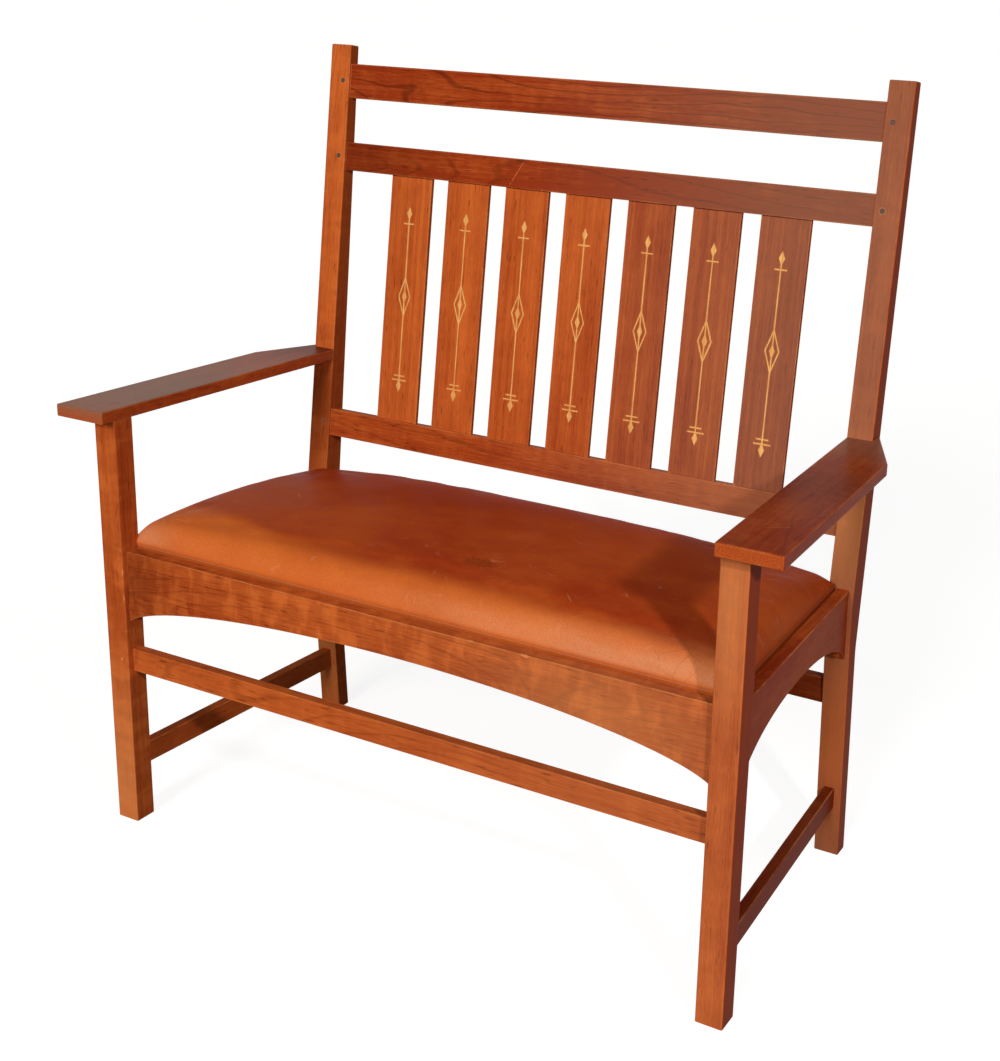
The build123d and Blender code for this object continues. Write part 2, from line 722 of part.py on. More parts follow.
def pad_form(inset, bottom):
    """The crowned form of the seat: cross-sections fanned out between its two sloping ends."""
    front_right, back_right = seat_outline(inset)[:2]
    half = front_right[0]
    ends = [1 - (edge_roll_end * (1 - cos(share * pi / 2)) - inset) / half for share in roll_angle_shares]
    fans = sorted({side * share for side in (-1, 1) for share in (*crown_shares, *ends, 1)})
    with BuildPart() as form:
        for fan in fans:
            start = Vector(fan * front_right[0], front_right[1])
            run = Vector(fan * back_right[0], back_right[1]) - start
            from_end = min(1, (half * (1 - abs(fan)) + inset) / edge_roll_end)
            lift = max(least_lift_share, sqrt(1 - (1 - from_end) ** 2))
            swell = 1 - fan**2
            roll = (edge_roll_end + (edge_roll_middle - edge_roll_end) * swell) * lift - inset
            slope = radians(crown_slope_end + (crown_slope_middle - crown_slope_end) * swell) * lift
            turn = degrees(pi / 2 - slope)
            crown_half = run.length / 2 - roll * (1 - sin(slope))
            crown_top = roll_base + roll * cos(slope) + crown_half * tan(slope / 2)
            with BuildSketch(Plane(origin=start, x_dir=run, z_dir=run.cross(Vector(0, 0, 1)))):
                with BuildLine():
                    front_edge = Line((0, bottom), (0, roll_base))
                    front_roll = JernArc(front_edge @ 1, (0, 1), roll, -turn)
                    rear_start = (run.length - (front_roll @ 1).X, (front_roll @ 1).Y)
                    ThreePointArc(front_roll @ 1, (run.length / 2, crown_top), rear_start)
                    rear_roll = JernArc(rear_start, (cos(slope), -sin(slope)), roll, -turn)
                    Polyline(rear_roll @ 1, (run.length, bottom), (0, bottom))
                make_face()
        loft(ruled=True)
        post_notches(inset)
    return form.part


# Tacks up through the dust cover and the leather's hem, in rows between the corner blocks
def tack_row(span):
    """Places along a row, about a tack pitch apart."""
    return spread(span, max(1, round((span[1] - span[0]) / tack_pitch)))


side_tacks = [
    (side * side_x(y, seat_side_inset + tack_inset / cos(side_angle)), y)
    for side in (-1, 1) for y in tack_row(side_cleat_y)
]
front_tacks = [(x, seat_y[0] + tack_inset) for x in tack_row(front_cleat_x)]
back_tacks = [(x, seat_y[1] - tack_inset) for x in tack_row(back_cleat_x)]
tack_seat_z = rest_z - dust_cover_thickness
with BuildPart() as cover_tacks:
    for x, y in side_tacks + front_tacks + back_tacks:
        with Locations((x, y, tack_seat_z - tack_head_height / 2)):
            Cylinder(tack_head_diameter / 2, tack_head_height)
        with Locations((x, y, tack_seat_z + tack_shank_length / 2)):
            Cylinder(tack_shank_diameter / 2, tack_shank_length)
export(cover_tacks, "cover_tacks")

with BuildPart() as dust_cover:
    plate(seat_outline(dust_cover_inset), (tack_seat_z, rest_z))
    add(cover_tacks.part, mode=Mode.SUBTRACT)
export(dust_cover, "dust_cover")

inner_form = pad_form(leather_thickness, hem_z)
with BuildPart() as leather_cover:
    add(pad_form(0, rest_z))
    add(inner_form, mode=Mode.SUBTRACT)
    plate(seat_outline(leather_hem), (rest_z, hem_z), Mode.SUBTRACT)
    add(cover_tacks.part, mode=Mode.SUBTRACT)
export(leather_cover, "leather_cover")

with BuildPart() as seat_foam:
    add(inner_form)
    block((-front_width, front_width), (front_y, bend_y), (rest_z, webbing_z[1]), Mode.SUBTRACT)
export(seat_foam, "seat_foam")

# Seat frame: front and back members run through, the side members and the brace are tenoned into them
member_y = trimmed(seat_y, leather_thickness)
front_member_y = (member_y[0], member_y[0] + seat_member_width)
back_member_y = (member_y[1] - seat_member_width, member_y[1])
between_y = (front_member_y[1], back_member_y[0])
member_side_inset = seat_side_inset + (leather_thickness + seat_member_width / 2) / cos(side_angle)
seat_tenon_z = middle(seat_frame_z, seat_tenon_thickness)
seat_tenon_y = trimmed(between_y, -seat_tenon_length)
seat_tenon_width = seat_member_width - 2 * seat_tenon_shoulder

with BuildPart() as seat_frame_side:
    side_strip(between_y, member_side_inset, seat_member_width, seat_frame_z)
    side_strip(seat_tenon_y, member_side_inset, seat_tenon_width, seat_tenon_z)
    add(cover_tacks.part, mode=Mode.SUBTRACT)
export_pair(seat_frame_side, "seat_frame_side")

with BuildPart() as seat_frame_brace:
    block(middle((0, 0), seat_member_width), between_y, seat_frame_z)
    block(middle((0, 0), seat_tenon_width), seat_tenon_y, seat_tenon_z)
export(seat_frame_brace, "seat_frame_brace")

for name, span in {"seat_frame_front": front_member_y, "seat_frame_back": back_member_y}.items():
    with BuildPart() as member:
        plate(seat_outline(leather_thickness), seat_frame_z)
        block((-front_width, front_width), span, seat_frame_z, Mode.INTERSECT)
        post_notches(leather_thickness)
        both_sides(seat_frame_side, Mode.SUBTRACT)
        add(seat_frame_brace.part, mode=Mode.SUBTRACT)
        add(cover_tacks.part, mode=Mode.SUBTRACT)
    export(member, name)

# Webbing straps over the frame
webbing_x = spread((-back_post_x[0], back_post_x[0]), webbing_count)
webbing_y = (front_member_y[1] - webbing_lap, back_member_y[0] + webbing_lap)
with BuildPart() as seat_webbing:
    for x in webbing_x:
        block(middle((x, x), webbing_width), webbing_y, webbing_z)
export(seat_webbing, "seat_webbing")
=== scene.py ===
"""Looks of the mission settle: cherry frame, pale inlay and leather seat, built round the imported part."""

import math
import typing

import bmesh
import bpy
import numpy as np
from mathutils import Matrix, Vector


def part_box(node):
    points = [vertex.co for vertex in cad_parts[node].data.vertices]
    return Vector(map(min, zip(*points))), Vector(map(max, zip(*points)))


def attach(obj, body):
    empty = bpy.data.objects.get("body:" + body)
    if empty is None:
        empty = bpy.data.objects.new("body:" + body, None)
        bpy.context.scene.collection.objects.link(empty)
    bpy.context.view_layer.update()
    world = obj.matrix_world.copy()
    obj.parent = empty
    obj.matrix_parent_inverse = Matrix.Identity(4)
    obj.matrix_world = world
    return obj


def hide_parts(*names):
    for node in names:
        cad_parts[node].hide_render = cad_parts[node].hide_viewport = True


bl_info = {
    "name": "Mission settle",
    "version": (1, 0, 0),
    "blender": (4, 5, 0),
    "location": "View3D > Sidebar > Settle",
    "description": "Dresses the settle in cherry, line inlay and worn leather",
    "category": "Object",
}

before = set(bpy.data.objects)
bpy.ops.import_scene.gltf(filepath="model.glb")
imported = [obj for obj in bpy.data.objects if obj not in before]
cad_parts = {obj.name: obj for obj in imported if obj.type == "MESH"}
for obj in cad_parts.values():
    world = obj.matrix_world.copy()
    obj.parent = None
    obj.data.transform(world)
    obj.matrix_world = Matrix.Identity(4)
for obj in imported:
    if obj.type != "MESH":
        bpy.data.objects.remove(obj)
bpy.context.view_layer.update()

MM = 0.001
PHOTO_WIDTH, PHOTO_HEIGHT = 1000, 1061
SENSOR = 36.0

# Heights and lines of the frame that the looks follow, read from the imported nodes
_, APRON_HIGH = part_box("front_apron")
RAIL_TOP = APRON_HIGH.z
PAD_LOW, PAD_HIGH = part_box("leather_cover")
FOAM_LOW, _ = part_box("seat_foam")
POST_LOW, POST_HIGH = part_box("front_post_right")

# The back leans above the height of its bend, and its feet slope below it
BEND_HEIGHT = 0.410
LEAN = math.radians(7.0)
FOOT_SLOPE = 27.0 / 410.0

# Growth lines per unit of the noise that they are the level lines of, in turns of a sine
RINGS = 120.0

# The cushion's rolls: steps at its ends, steps in front and behind, their turn, and the arch between them
END_STEPS = 11
ROLL_STEPS = 12
ROLL_TURN = math.pi / 2 * 0.9
ARCH_POWER = 0.92

# Points of the cushion this close are one
MERGE = 0.0005

# The leather's simulation: frames, and the height above the lip over which the swell grows
SWELL_FRAMES = 20
SWELL_HEIGHT = 0.020

# The leather's scratches: how each lot is turned, and its seed
SCRATCHES = ((0.35, 2.0), (-0.9, 5.0), (1.9, 9.0), (-0.2, 13.0))

SUN_WIDTH = math.radians(20.0)


def colour(red, green, blue):
    """A colour on the 0 to 255 screen scale as the linear values that shaders take."""
    linear = []
    for value in (red, green, blue):
        share = value / 255
        linear.append(share / 12.92 if share <= 0.04045 else ((share + 0.055) / 1.055) ** 2.4)
    return (*linear, 1.0)


def colour_setting(name, description, red, green, blue):
    """A colour property whose default is given on the 0 to 255 screen scale."""
    return bpy.props.FloatVectorProperty(
        name=name, description=description, subtype="COLOR", size=3, min=0, max=1,
        default=colour(red, green, blue)[:3])


class Shades:
    """Lays out the nodes of one material, left to right."""

    def __init__(self, name):
        self.material = bpy.data.materials.new(name)
        self.material.use_nodes = True
        self.tree = self.material.node_tree
        self.tree.nodes.clear()
        self.count = 0
        self.place = self.node("ShaderNodeTexCoord")
        self.object_place = self.place.outputs["Object"]

    def node(self, kind, **settings):
        made = self.tree.nodes.new(kind)
        made.location = (180 * (self.count % 12), -220 * (self.count // 12))
        self.count += 1
        for key, value in settings.items():
            setattr(made, key, value)
        return made

    def feed(self, socket, value):
        if isinstance(value, bpy.types.NodeSocket):
            self.tree.links.new(value, socket)
        elif value is not None:
            socket.default_value = value

    def math(self, operation, *values):
        made = self.node("ShaderNodeMath", operation=operation)
        for socket, value in zip(made.inputs, values):
            self.feed(socket, value)
        return made.outputs[0]

    def add(self, first, *others):
        for other in others:
            first = self.math("ADD", first, other)
        return first

    def times(self, first, *others):
        for other in others:
            first = self.math("MULTIPLY", first, other)
        return first

    def vector(self, x, y, z):
        made = self.node("ShaderNodeCombineXYZ")
        for socket, value in zip(made.inputs, (x, y, z)):
            self.feed(socket, value)
        return made.outputs[0]

    def parts(self, vector):
        made = self.node("ShaderNodeSeparateXYZ")
        self.feed(made.inputs[0], vector)
        return made.outputs[0], made.outputs[1], made.outputs[2]

    def mapped(self, vector, move=(0, 0, 0), turn=(0, 0, 0), scale=(1, 1, 1)):
        made = self.node("ShaderNodeMapping")
        self.feed(made.inputs["Vector"], vector)
        made.inputs["Location"].default_value = move
        made.inputs["Rotation"].default_value = turn
        made.inputs["Scale"].default_value = scale
        return made.outputs[0]

    def noise(self, vector, scale, detail=2.0, roughness=0.5, distortion=0.0):
        made = self.node("ShaderNodeTexNoise")
        self.feed(made.inputs["Vector"], vector)
        made.inputs["Scale"].default_value = scale
        made.inputs["Detail"].default_value = detail
        made.inputs["Roughness"].default_value = roughness
        made.inputs["Distortion"].default_value = distortion
        return made.outputs["Fac"]

    def streaks(self, grain, along, across, detail=1.0, roughness=0.5, distortion=0.0):
        """Noise with one frequency per metre along the grain and another across it."""
        stretched = self.mapped(grain, scale=(along, across, across))
        return self.noise(stretched, 1.0, detail, roughness, distortion)

    def cells(self, vector, scale, feature="F1"):
        made = self.node("ShaderNodeTexVoronoi", feature=feature)
        self.feed(made.inputs["Vector"], vector)
        made.inputs["Scale"].default_value = scale
        return made.outputs["Distance"]

    def weave(self, pitch):
        """A plain weave of threads a pitch apart: a wave across times a wave along."""
        x, y, _ = self.parts(self.object_place)
        waves = [self.math("SINE", self.times(way, 2 * math.pi / pitch)) for way in (x, y)]
        return self.times(*waves)

    def span(self, value, low, high, to_low=0.0, to_high=1.0):
        made = self.node("ShaderNodeMapRange", interpolation_type="SMOOTHSTEP")
        for name, given in (("Value", value), ("From Min", low), ("From Max", high),
                            ("To Min", to_low), ("To Max", to_high)):
            self.feed(made.inputs[name], given)
        return made.outputs[0]

    def mix(self, amount, first, second):
        """One colour over another, by an amount that is kept between 0 and 1."""
        made = self.node("ShaderNodeMix", data_type="RGBA", clamp_factor=True)
        self.feed(made.inputs[0], amount)
        self.feed(made.inputs[6], first)
        self.feed(made.inputs[7], second)
        return made.outputs[2]

    def bump(self, height, depth, strength, normal=None):
        made = self.node("ShaderNodeBump")
        made.inputs["Strength"].default_value = strength
        made.inputs["Distance"].default_value = depth
        self.feed(made.inputs["Height"], height)
        self.feed(made.inputs["Normal"], normal)
        return made.outputs[0]

    def finish(self, base, roughness, normal, **sockets):
        shader = self.node("ShaderNodeBsdfPrincipled")
        self.feed(shader.inputs["Base Color"], base)
        self.feed(shader.inputs["Roughness"], roughness)
        self.feed(shader.inputs["Normal"], normal)
        for name, value in sockets.items():
            shader.inputs[name.replace("_", " ")].default_value = value
        out = self.node("ShaderNodeOutputMaterial")
        self.tree.links.new(shader.outputs[0], out.inputs[0])
        return self.material


def dress(node, material):
    """Gives one carried-over node its finish."""
    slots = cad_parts[node].data.materials
    slots.clear()
    slots.append(material)


def straightened(s, place):
    """Object coordinates with the lean of the back taken out, so grain runs along the leaning boards."""
    x, y, z = s.parts(place)
    above = s.math("MAXIMUM", s.math("SUBTRACT", z, BEND_HEIGHT), 0.0)
    below = s.math("MAXIMUM", s.math("SUBTRACT", BEND_HEIGHT, z), 0.0)
    y = s.math("SUBTRACT", y, s.times(above, math.tan(LEAN)))
    y = s.math("SUBTRACT", y, s.times(below, FOOT_SLOPE))
    return s.vector(x, y, z)


def along_grain(s, along, leaning):
    """Coordinates whose X runs with the grain."""
    x, y, z = s.parts(straightened(s, s.object_place) if leaning else s.object_place)
    order = {"X": (x, y, z), "Y": (y, x, z), "Z": (z, x, y)}[along]
    return s.vector(*order)


class Board(typing.NamedTuple):
    """How one board is cut from the tree, how much painted shade darkens it and its side faces, and its
    painted sheen.
    """
    along: str
    leaning: bool = False
    warm: float = 0.5
    painted_shade: float = 0.0
    straight: float = 1.0
    figure: float = 0.22
    curl: float = 0.10
    stripes: float = 0.07
    sides: float = 0.5
    painted_sheen: float = 0.15
    gloss: float = 0.007


class Mark(typing.NamedTuple):
    """A nick, scratch or patch of wear, painted light or painted shade: its place and half sizes in metres,
    how much it shows, its turn and tint.

    A soft one fades out slowly, and leaves the board's right and left faces alone.
    """
    centre: tuple
    reach: tuple
    amount: float = 0.7
    turn: tuple = (0, 0, 0)
    tint: str = "worn"
    soft: bool = False


def marked(s, mark):
    """How much of a mark shows: most inside its ellipsoid, falling off slowly, or at a ragged edge."""
    inside = s.node("ShaderNodeMapping", vector_type="TEXTURE")
    s.feed(inside.inputs["Vector"], s.object_place)
    inside.inputs["Location"].default_value = mark.centre
    inside.inputs["Rotation"].default_value = mark.turn
    inside.inputs["Scale"].default_value = mark.reach
    length = s.node("ShaderNodeVectorMath", operation="LENGTH")
    s.feed(length.inputs[0], inside.outputs[0])
    far = length.outputs["Value"]
    if mark.soft:
        return s.span(far, 1.0, 0.0, 0.0, mark.amount)
    ragged = s.add(far, s.span(s.noise(s.object_place, 260.0), 0.3, 0.7, -0.3, 0.3))
    return s.span(ragged, 1.0, 0.7, 0.0, mark.amount)


def cherry(name, seed, board, settings, marks=()):
    """Cherry under a satin finish.

    Tone drifts along the board with broad noise. Growth lines are level lines of noise that is long with the
    grain, shown only where another noise lets them. Curl is soft bright patches across the grain. Fibres and
    pores are finer noise stretched with the grain. Each board may be painted darker as painted shade, its
    left and right faces are painted darker and redder as painted shade, ends are darker, a painted sheen
    grows towards the right end, and worn edges are paler, where the rounded normal leaves the flat one. Marks
    lie over all of it, some of them painted light and painted shade.
    """
    s = Shades(name)
    grain = along_grain(s, board.along, board.leaning)
    grain = s.mapped(grain, move=(seed * 1.37, seed * 0.71, seed * 0.29))
    light, deep, gum = (*settings.light, 1.0), (*settings.deep, 1.0), (*settings.gum, 1.0)
    fibre = s.streaks(grain, 11.0, 640.0, 3.0, 0.65)
    tone = board.warm
    for drift, low, reach in (
            (s.streaks(grain, 2.2, 9.0, 2.0), 0.32, 0.15),
            (s.streaks(grain, 9.0, 30.0, 3.0, 0.55), 0.30, 0.10),
            (fibre, 0.30, 0.13),
            (s.streaks(grain, 60.0, 700.0), 0.32, 0.08),
            (s.streaks(grain, 0.7, 150.0, 1.5), 0.35, board.stripes)):
        tone = s.add(tone, s.span(drift, low, 1 - low, -reach, reach))
    band = s.streaks(grain, 46.0, 19.0, 2.0, distortion=0.3)
    tone = s.add(tone, s.span(band, 0.42, 0.70, -0.3 * board.curl, board.curl))
    base = s.mix(tone, deep, light)
    field = s.streaks(grain, 1.3, 11.0 * board.straight, 0.6, 0.4)
    field = s.add(field, s.times(s.streaks(grain, 12.0, 15.0), 0.035))
    line = s.span(s.math("SINE", s.times(field, RINGS)), 0.82, 1.0)
    shown = s.span(s.streaks(grain, 1.2, 5.0), 0.46, 0.62, 0.12, 1.0)
    pores = s.span(s.streaks(grain, 60.0, 2300.0), 0.60, 0.74, 0.0, 0.22)
    fleck = s.span(s.streaks(grain, 34.0, 300.0), 0.66, 0.76, 0.0, 0.5)
    # Each board's own darkening towards the gum colour is painted shade
    for amount in (s.times(line, shown, board.figure), pores, fleck, board.painted_shade):
        base = s.mix(amount, base, gum)
    facing = s.parts(s.place.outputs["Normal"])
    sideways = s.math("ABSOLUTE", facing[0])
    endways = s.math("ABSOLUTE", facing["XYZ".index(board.along)])
    # Left and right faces are painted darker and redder: painted shade
    base = s.mix(s.span(sideways, 0.7, 0.95, 0.0, board.sides), base, s.mix(0.25, deep, gum))
    end_grain = s.mix(s.span(fibre, 0.30, 0.60), deep, s.mix(0.65, deep, light))
    base = s.mix(s.span(endways, 0.80, 0.95, 0.0, 0.7), base, end_grain)
    # Painted sheen that grows towards the right end, kept off the left and right faces
    sheen_to_right = s.span(s.parts(s.object_place)[0], -0.20, 0.42, 0.0, board.painted_sheen)
    base = s.mix(s.times(sheen_to_right, s.span(sideways, 0.5, 0.2)), base, (*settings.painted_sheen, 1.0))
    rounded = s.node("ShaderNodeBevel", samples=4)
    rounded.inputs["Radius"].default_value = settings.edge_wear * MM
    turned = s.node("ShaderNodeVectorMath", operation="DOT_PRODUCT")
    s.feed(turned.inputs[0], rounded.outputs[0])
    s.feed(turned.inputs[1], s.node("ShaderNodeNewGeometry").outputs["True Normal"])
    edge = s.span(turned.outputs["Value"], 0.99, 0.90)
    rub = s.times(edge, s.span(s.noise(s.object_place, 22.0, 3.0, 0.6), 0.38, 0.64, 0.25, 0.9))
    base = s.mix(rub, base, (*settings.worn, 1.0))
    for mark in marks:
        shown = marked(s, mark)
        if mark.soft:
            shown = s.times(shown, s.span(sideways, 0.95, 0.7))
        base = s.mix(shown, base, (*getattr(settings, mark.tint), 1.0))
    fine = s.bump(fibre, 0.00010, 0.25)
    waviness = s.bump(s.streaks(grain, 2.0, 26.0), 0.0006, 0.12, fine)
    gloss = s.add(s.span(fibre, 0.2, 0.8, -0.04, 0.06), settings.roughness, s.times(rub, 0.15))
    return s.finish(base, gloss, waviness, Specular_IOR_Level=board.gloss)


class CherrySettings(bpy.types.PropertyGroup):
    light: colour_setting("Light wood", "Colour of the paler early wood", 214, 108, 48)
    deep: colour_setting("Deep wood", "Colour of the redder, darker wood", 150, 52, 20)
    gum: colour_setting("Gum lines", "Colour of rings, pores and gum marks", 66, 20, 9)
    worn: colour_setting("Worn edges", "Bare wood where edges are rubbed", 232, 150, 88)
    # The clouded-finish colour is painted sheen, put towards the right end of boards and on the arm tops
    painted_sheen: colour_setting("Clouded finish", "Greyish bloom of the old finish", 134, 108, 88)
    roughness: bpy.props.FloatProperty(
        name="Roughness", description="Satin of the finish", default=0.36, min=0, max=1, subtype="FACTOR")
    edge_wear: bpy.props.FloatProperty(
        name="Edge wear", description="Width of the rubbed edges in millimetres", default=2.6, min=0, max=10)


# Darkening on the arms, the back and right stretchers and the side faces is painted shade; clouding is
# painted sheen
BOARDS = {
    "front_post_left": Board("Z", warm=0.60, curl=0.24, sides=0.1),
    "front_post_right": Board("Z", warm=0.62, sides=0.85),
    "back_post_left": Board("Z", True, warm=0.76, curl=0.18),
    "back_post_right": Board("Z", True, warm=0.46, painted_sheen=0.48, sides=0.85),
    "crest_rail": Board("X", True, warm=0.08, figure=0.45, painted_sheen=0.46),
    "middle_back_rail": Board("X", True, warm=0.0, figure=0.28, painted_sheen=0.50),
    "lower_back_rail": Board("X", True, warm=0.36, figure=0.45, painted_sheen=0.46),
    "front_apron": Board("X", warm=0.52, curl=0.34),
    "side_apron_left": Board("Y", warm=0.35),
    "side_apron_right": Board("Y", warm=0.24, painted_sheen=0),
    "front_stretcher": Board("X", warm=0.56),
    "back_stretcher": Board("X", warm=0.20, painted_shade=0.40, painted_sheen=0),
    "side_stretcher_left": Board("Y", warm=0.75, sides=0.3),
    "side_stretcher_right": Board("Y", warm=0.2, painted_shade=0.50, painted_sheen=0),
    "back_seat_rail": Board("X", warm=0.35),
    "arm_left": Board("Y", warm=0.38, painted_shade=0.08, sides=0, painted_sheen=0, gloss=0.045),
    "arm_right": Board("Y", warm=0.20, painted_shade=0.22, painted_sheen=0, gloss=0.015),
}

SLAT_WARMTH = (0.66, 0.64, 0.54, 0.58, 0.30, 0.32, 0.28)
# Painted sheen on the slats, growing towards the right
SLAT_PAINTED_SHEEN = (0.0, 0.0, 0.08, 0.16, 0.38, 0.40, 0.46)

WEAR_AND_PAINTED_LIGHT = {
    "front_post_left": (Mark((-0.4794, -0.263, 0.2658), (0.002, 0.004, 0.003)),
                        Mark((-0.4685, -0.263, 0.404), (0.0012, 0.004, 0.006), 0.5),
                        Mark((-0.4685, -0.263, 0.365), (0.0012, 0.004, 0.009), 0.5),
                        Mark((-0.49, -0.263, 0.06), (0.12, 0.12, 0.28), 0.45, soft=True)),
    "front_post_right": (Mark((0.484, -0.280, 0.58), (0.05, 0.04, 0.25), 0.55, soft=True),),
    # Left back post: a painted shadow of the arm below it, and painted light on the low front of the leg
    "back_post_left": (Mark((-0.465, 0.195, 0.55), (0.08, 0.08, 0.16), 0.5, tint="gum", soft=True),
                       Mark((-0.460, 0.22, 0.18), (0.10, 0.12, 0.26), 0.6, soft=True)),
    # Right back post: painted light below the arm and on the low front of the leg, and a soft darker patch
    # high up
    "back_post_right": (Mark((0.465, 0.20, 0.53), (0.10, 0.10, 0.16), 0.6, soft=True),
                        Mark((0.465, 0.24, 0.20), (0.10, 0.14, 0.28), 0.8, tint="light", soft=True),
                        Mark((0.470, 0.33, 1.10), (0.10, 0.12, 0.20), 0.35, tint="gum", soft=True)),
    "front_apron": (Mark((0.2048, -0.254, 0.4331), (0.007, 0.004, 0.0022)),
                    Mark((0.1226, -0.254, 0.4338), (0.005, 0.004, 0.0018)),
                    Mark((-0.47, -0.254, 0.39), (0.12, 0.05, 0.12), 0.45, tint="gum", soft=True),
                    Mark((-0.20, -0.254, 0.372), (0.012, 0.004, 0.004), 0.25, tint="gum"),
                    Mark((0.30, -0.254, 0.38), (0.26, 0.05, 0.10), 0.30, soft=True)),
    "middle_back_rail": (Mark((-0.124, 0.2505, 0.960), (0.0007, 0.02, 0.025), 0.5, (0, 0.55, 0)),
                         Mark((-0.44, 0.25, 0.96), (0.26, 0.10, 0.12), 0.4, tint="gum", soft=True)),
    "front_stretcher": (Mark((-0.345, -0.254, 0.2685), (0.014, 0.004, 0.006), 0.16, tint="gum"),),
    # Left arm top: a painted reflection on the front part, painted shade on the back part
    "arm_left": (Mark((-0.50, -0.15, 0.655), (0.40, 0.42, 0.030), 0.8, tint="painted_sheen", soft=True),
                 Mark((-0.50, 0.24, 0.655), (0.40, 0.22, 0.030), 0.9, tint="gum", soft=True)),
    # Right arm top: two scratches, painted shade in the middle and a painted reflection at the back
    "arm_right": (Mark((0.51, -0.20, 0.6485), (0.018, 0.0006, 0.004), 0.35, (0, 0, 0.6)),
                  Mark((0.50, -0.05, 0.6485), (0.010, 0.0005, 0.004), 0.35, (0, 0, -0.5)),
                  Mark((0.50, -0.02, 0.655), (0.40, 0.16, 0.030), 0.4, tint="gum", soft=True),
                  Mark((0.50, 0.20, 0.655), (0.40, 0.14, 0.030), 0.5, tint="painted_sheen", soft=True)),
}


class SETTLE_OT_cherry(bpy.types.Operator):
    """Finishes posts, rails, aprons, stretchers and arms in cherry, each board with its own figure"""
    bl_idname = "settle.cherry"
    bl_label = "Cherry frame"

    def execute(self, context):
        look = context.scene.settle_cherry
        for seed, (node, board) in enumerate(BOARDS.items(), start=1):
            dress(node, cherry(f"cherry_{node}", seed, board, look, WEAR_AND_PAINTED_LIGHT.get(node, ())))
        return {"FINISHED"}


class SETTLE_OT_slats(bpy.types.Operator):
    """Finishes the seven slats in straight-grained cherry, the right-hand ones redder"""
    bl_idname = "settle.slats"
    bl_label = "Back slats"

    def execute(self, context):
        look = context.scene.settle_cherry
        for number, (warm, painted_sheen) in enumerate(zip(SLAT_WARMTH, SLAT_PAINTED_SHEEN), start=1):
            board = Board("Z", True, warm, straight=1.6, figure=0.08, curl=0.05, stripes=0.11, painted_sheen=painted_sheen)
            dress(f"slat_{number}", cherry(f"cherry_slat_{number}", 20 + number, board, look))
        return {"FINISHED"}


class InlaySettings(bpy.types.PropertyGroup):
    pale: colour_setting("Inlay", "Colour of the pale inlaid wood", 244, 192, 106)
    shaded: colour_setting("Shaded inlay", "Darker streaks in the inlaid wood", 214, 142, 64)
    peg: colour_setting("Pegs", "Colour of the peg ends", 48, 20, 12)


class SETTLE_OT_inlay(bpy.types.Operator):
    """Finishes the line inlay in pale wood and the pegs in end grain, the low ones near the frame's colour"""
    bl_idname = "settle.inlay"
    bl_label = "Inlay and pegs"

    def execute(self, context):
        look = context.scene.settle_inlay
        wood = context.scene.settle_cherry
        s = Shades("pale_inlay")
        streak = s.streaks(along_grain(s, "Z", True), 30.0, 900.0, 3.0, 0.6)
        tone = s.noise(s.object_place, 30.0)
        base = s.mix(s.span(streak, 0.35, 0.68), (*look.shaded, 1), (*look.pale, 1))
        base = s.mix(s.span(tone, 0.4, 0.7, 0.0, 0.35), base, (*look.shaded, 1))
        pale = s.finish(base, 0.38, s.bump(streak, 0.0001, 0.2), Coat_Weight=0.2, Coat_Roughness=0.16)
        for number in range(1, 8):
            dress(f"slat_inlay_{number}", pale)
        s = Shades("peg_end_grain")
        dots = s.cells(s.object_place, 1400.0)
        shade = s.noise(s.object_place, 160.0)
        base = s.mix(s.span(dots, 0.2, 0.6), (*look.peg, 1), colour(84, 40, 22))
        base = s.mix(s.span(shade, 0.4, 0.7, 0.0, 0.6), base, (*look.peg, 1))
        x, _, z = s.parts(s.object_place)
        matched = s.times(s.span(z, 0.62, 0.58), s.span(x, -0.10, 0.10, 0.25, 0.95))
        cut = s.mix(s.span(dots, 0.1, 0.9, 0.45, 0.65), (*wood.light, 1), (*wood.deep, 1))
        # The low pegs on the right are painted lighter with the worn colour: painted light, as on the post
        # around them
        cut = s.mix(s.span(x, -0.10, 0.10, 0.0, 0.55), cut, (*wood.worn, 1))
        base = s.mix(matched, base, cut)
        dress("back_rail_pegs", s.finish(base, 0.5, s.bump(dots, 0.0001, 0.3)))
        return {"FINISHED"}


# Pieces of plain wood under the seat and in the arms, and the way their grain runs
PLAIN_WOOD = {
    "arm_dowels": "Y", "seat_cleat_front": "X", "seat_cleat_back": "X", "seat_cleat_left": "Y",
    "seat_cleat_right": "Y", "front_corner_block_left": "X", "front_corner_block_right": "X",
    "back_corner_block_left": "X", "back_corner_block_right": "X", "seat_frame_front": "X",
    "seat_frame_back": "X", "seat_frame_brace": "Y", "seat_frame_side_left": "Y",
    "seat_frame_side_right": "Y",
}


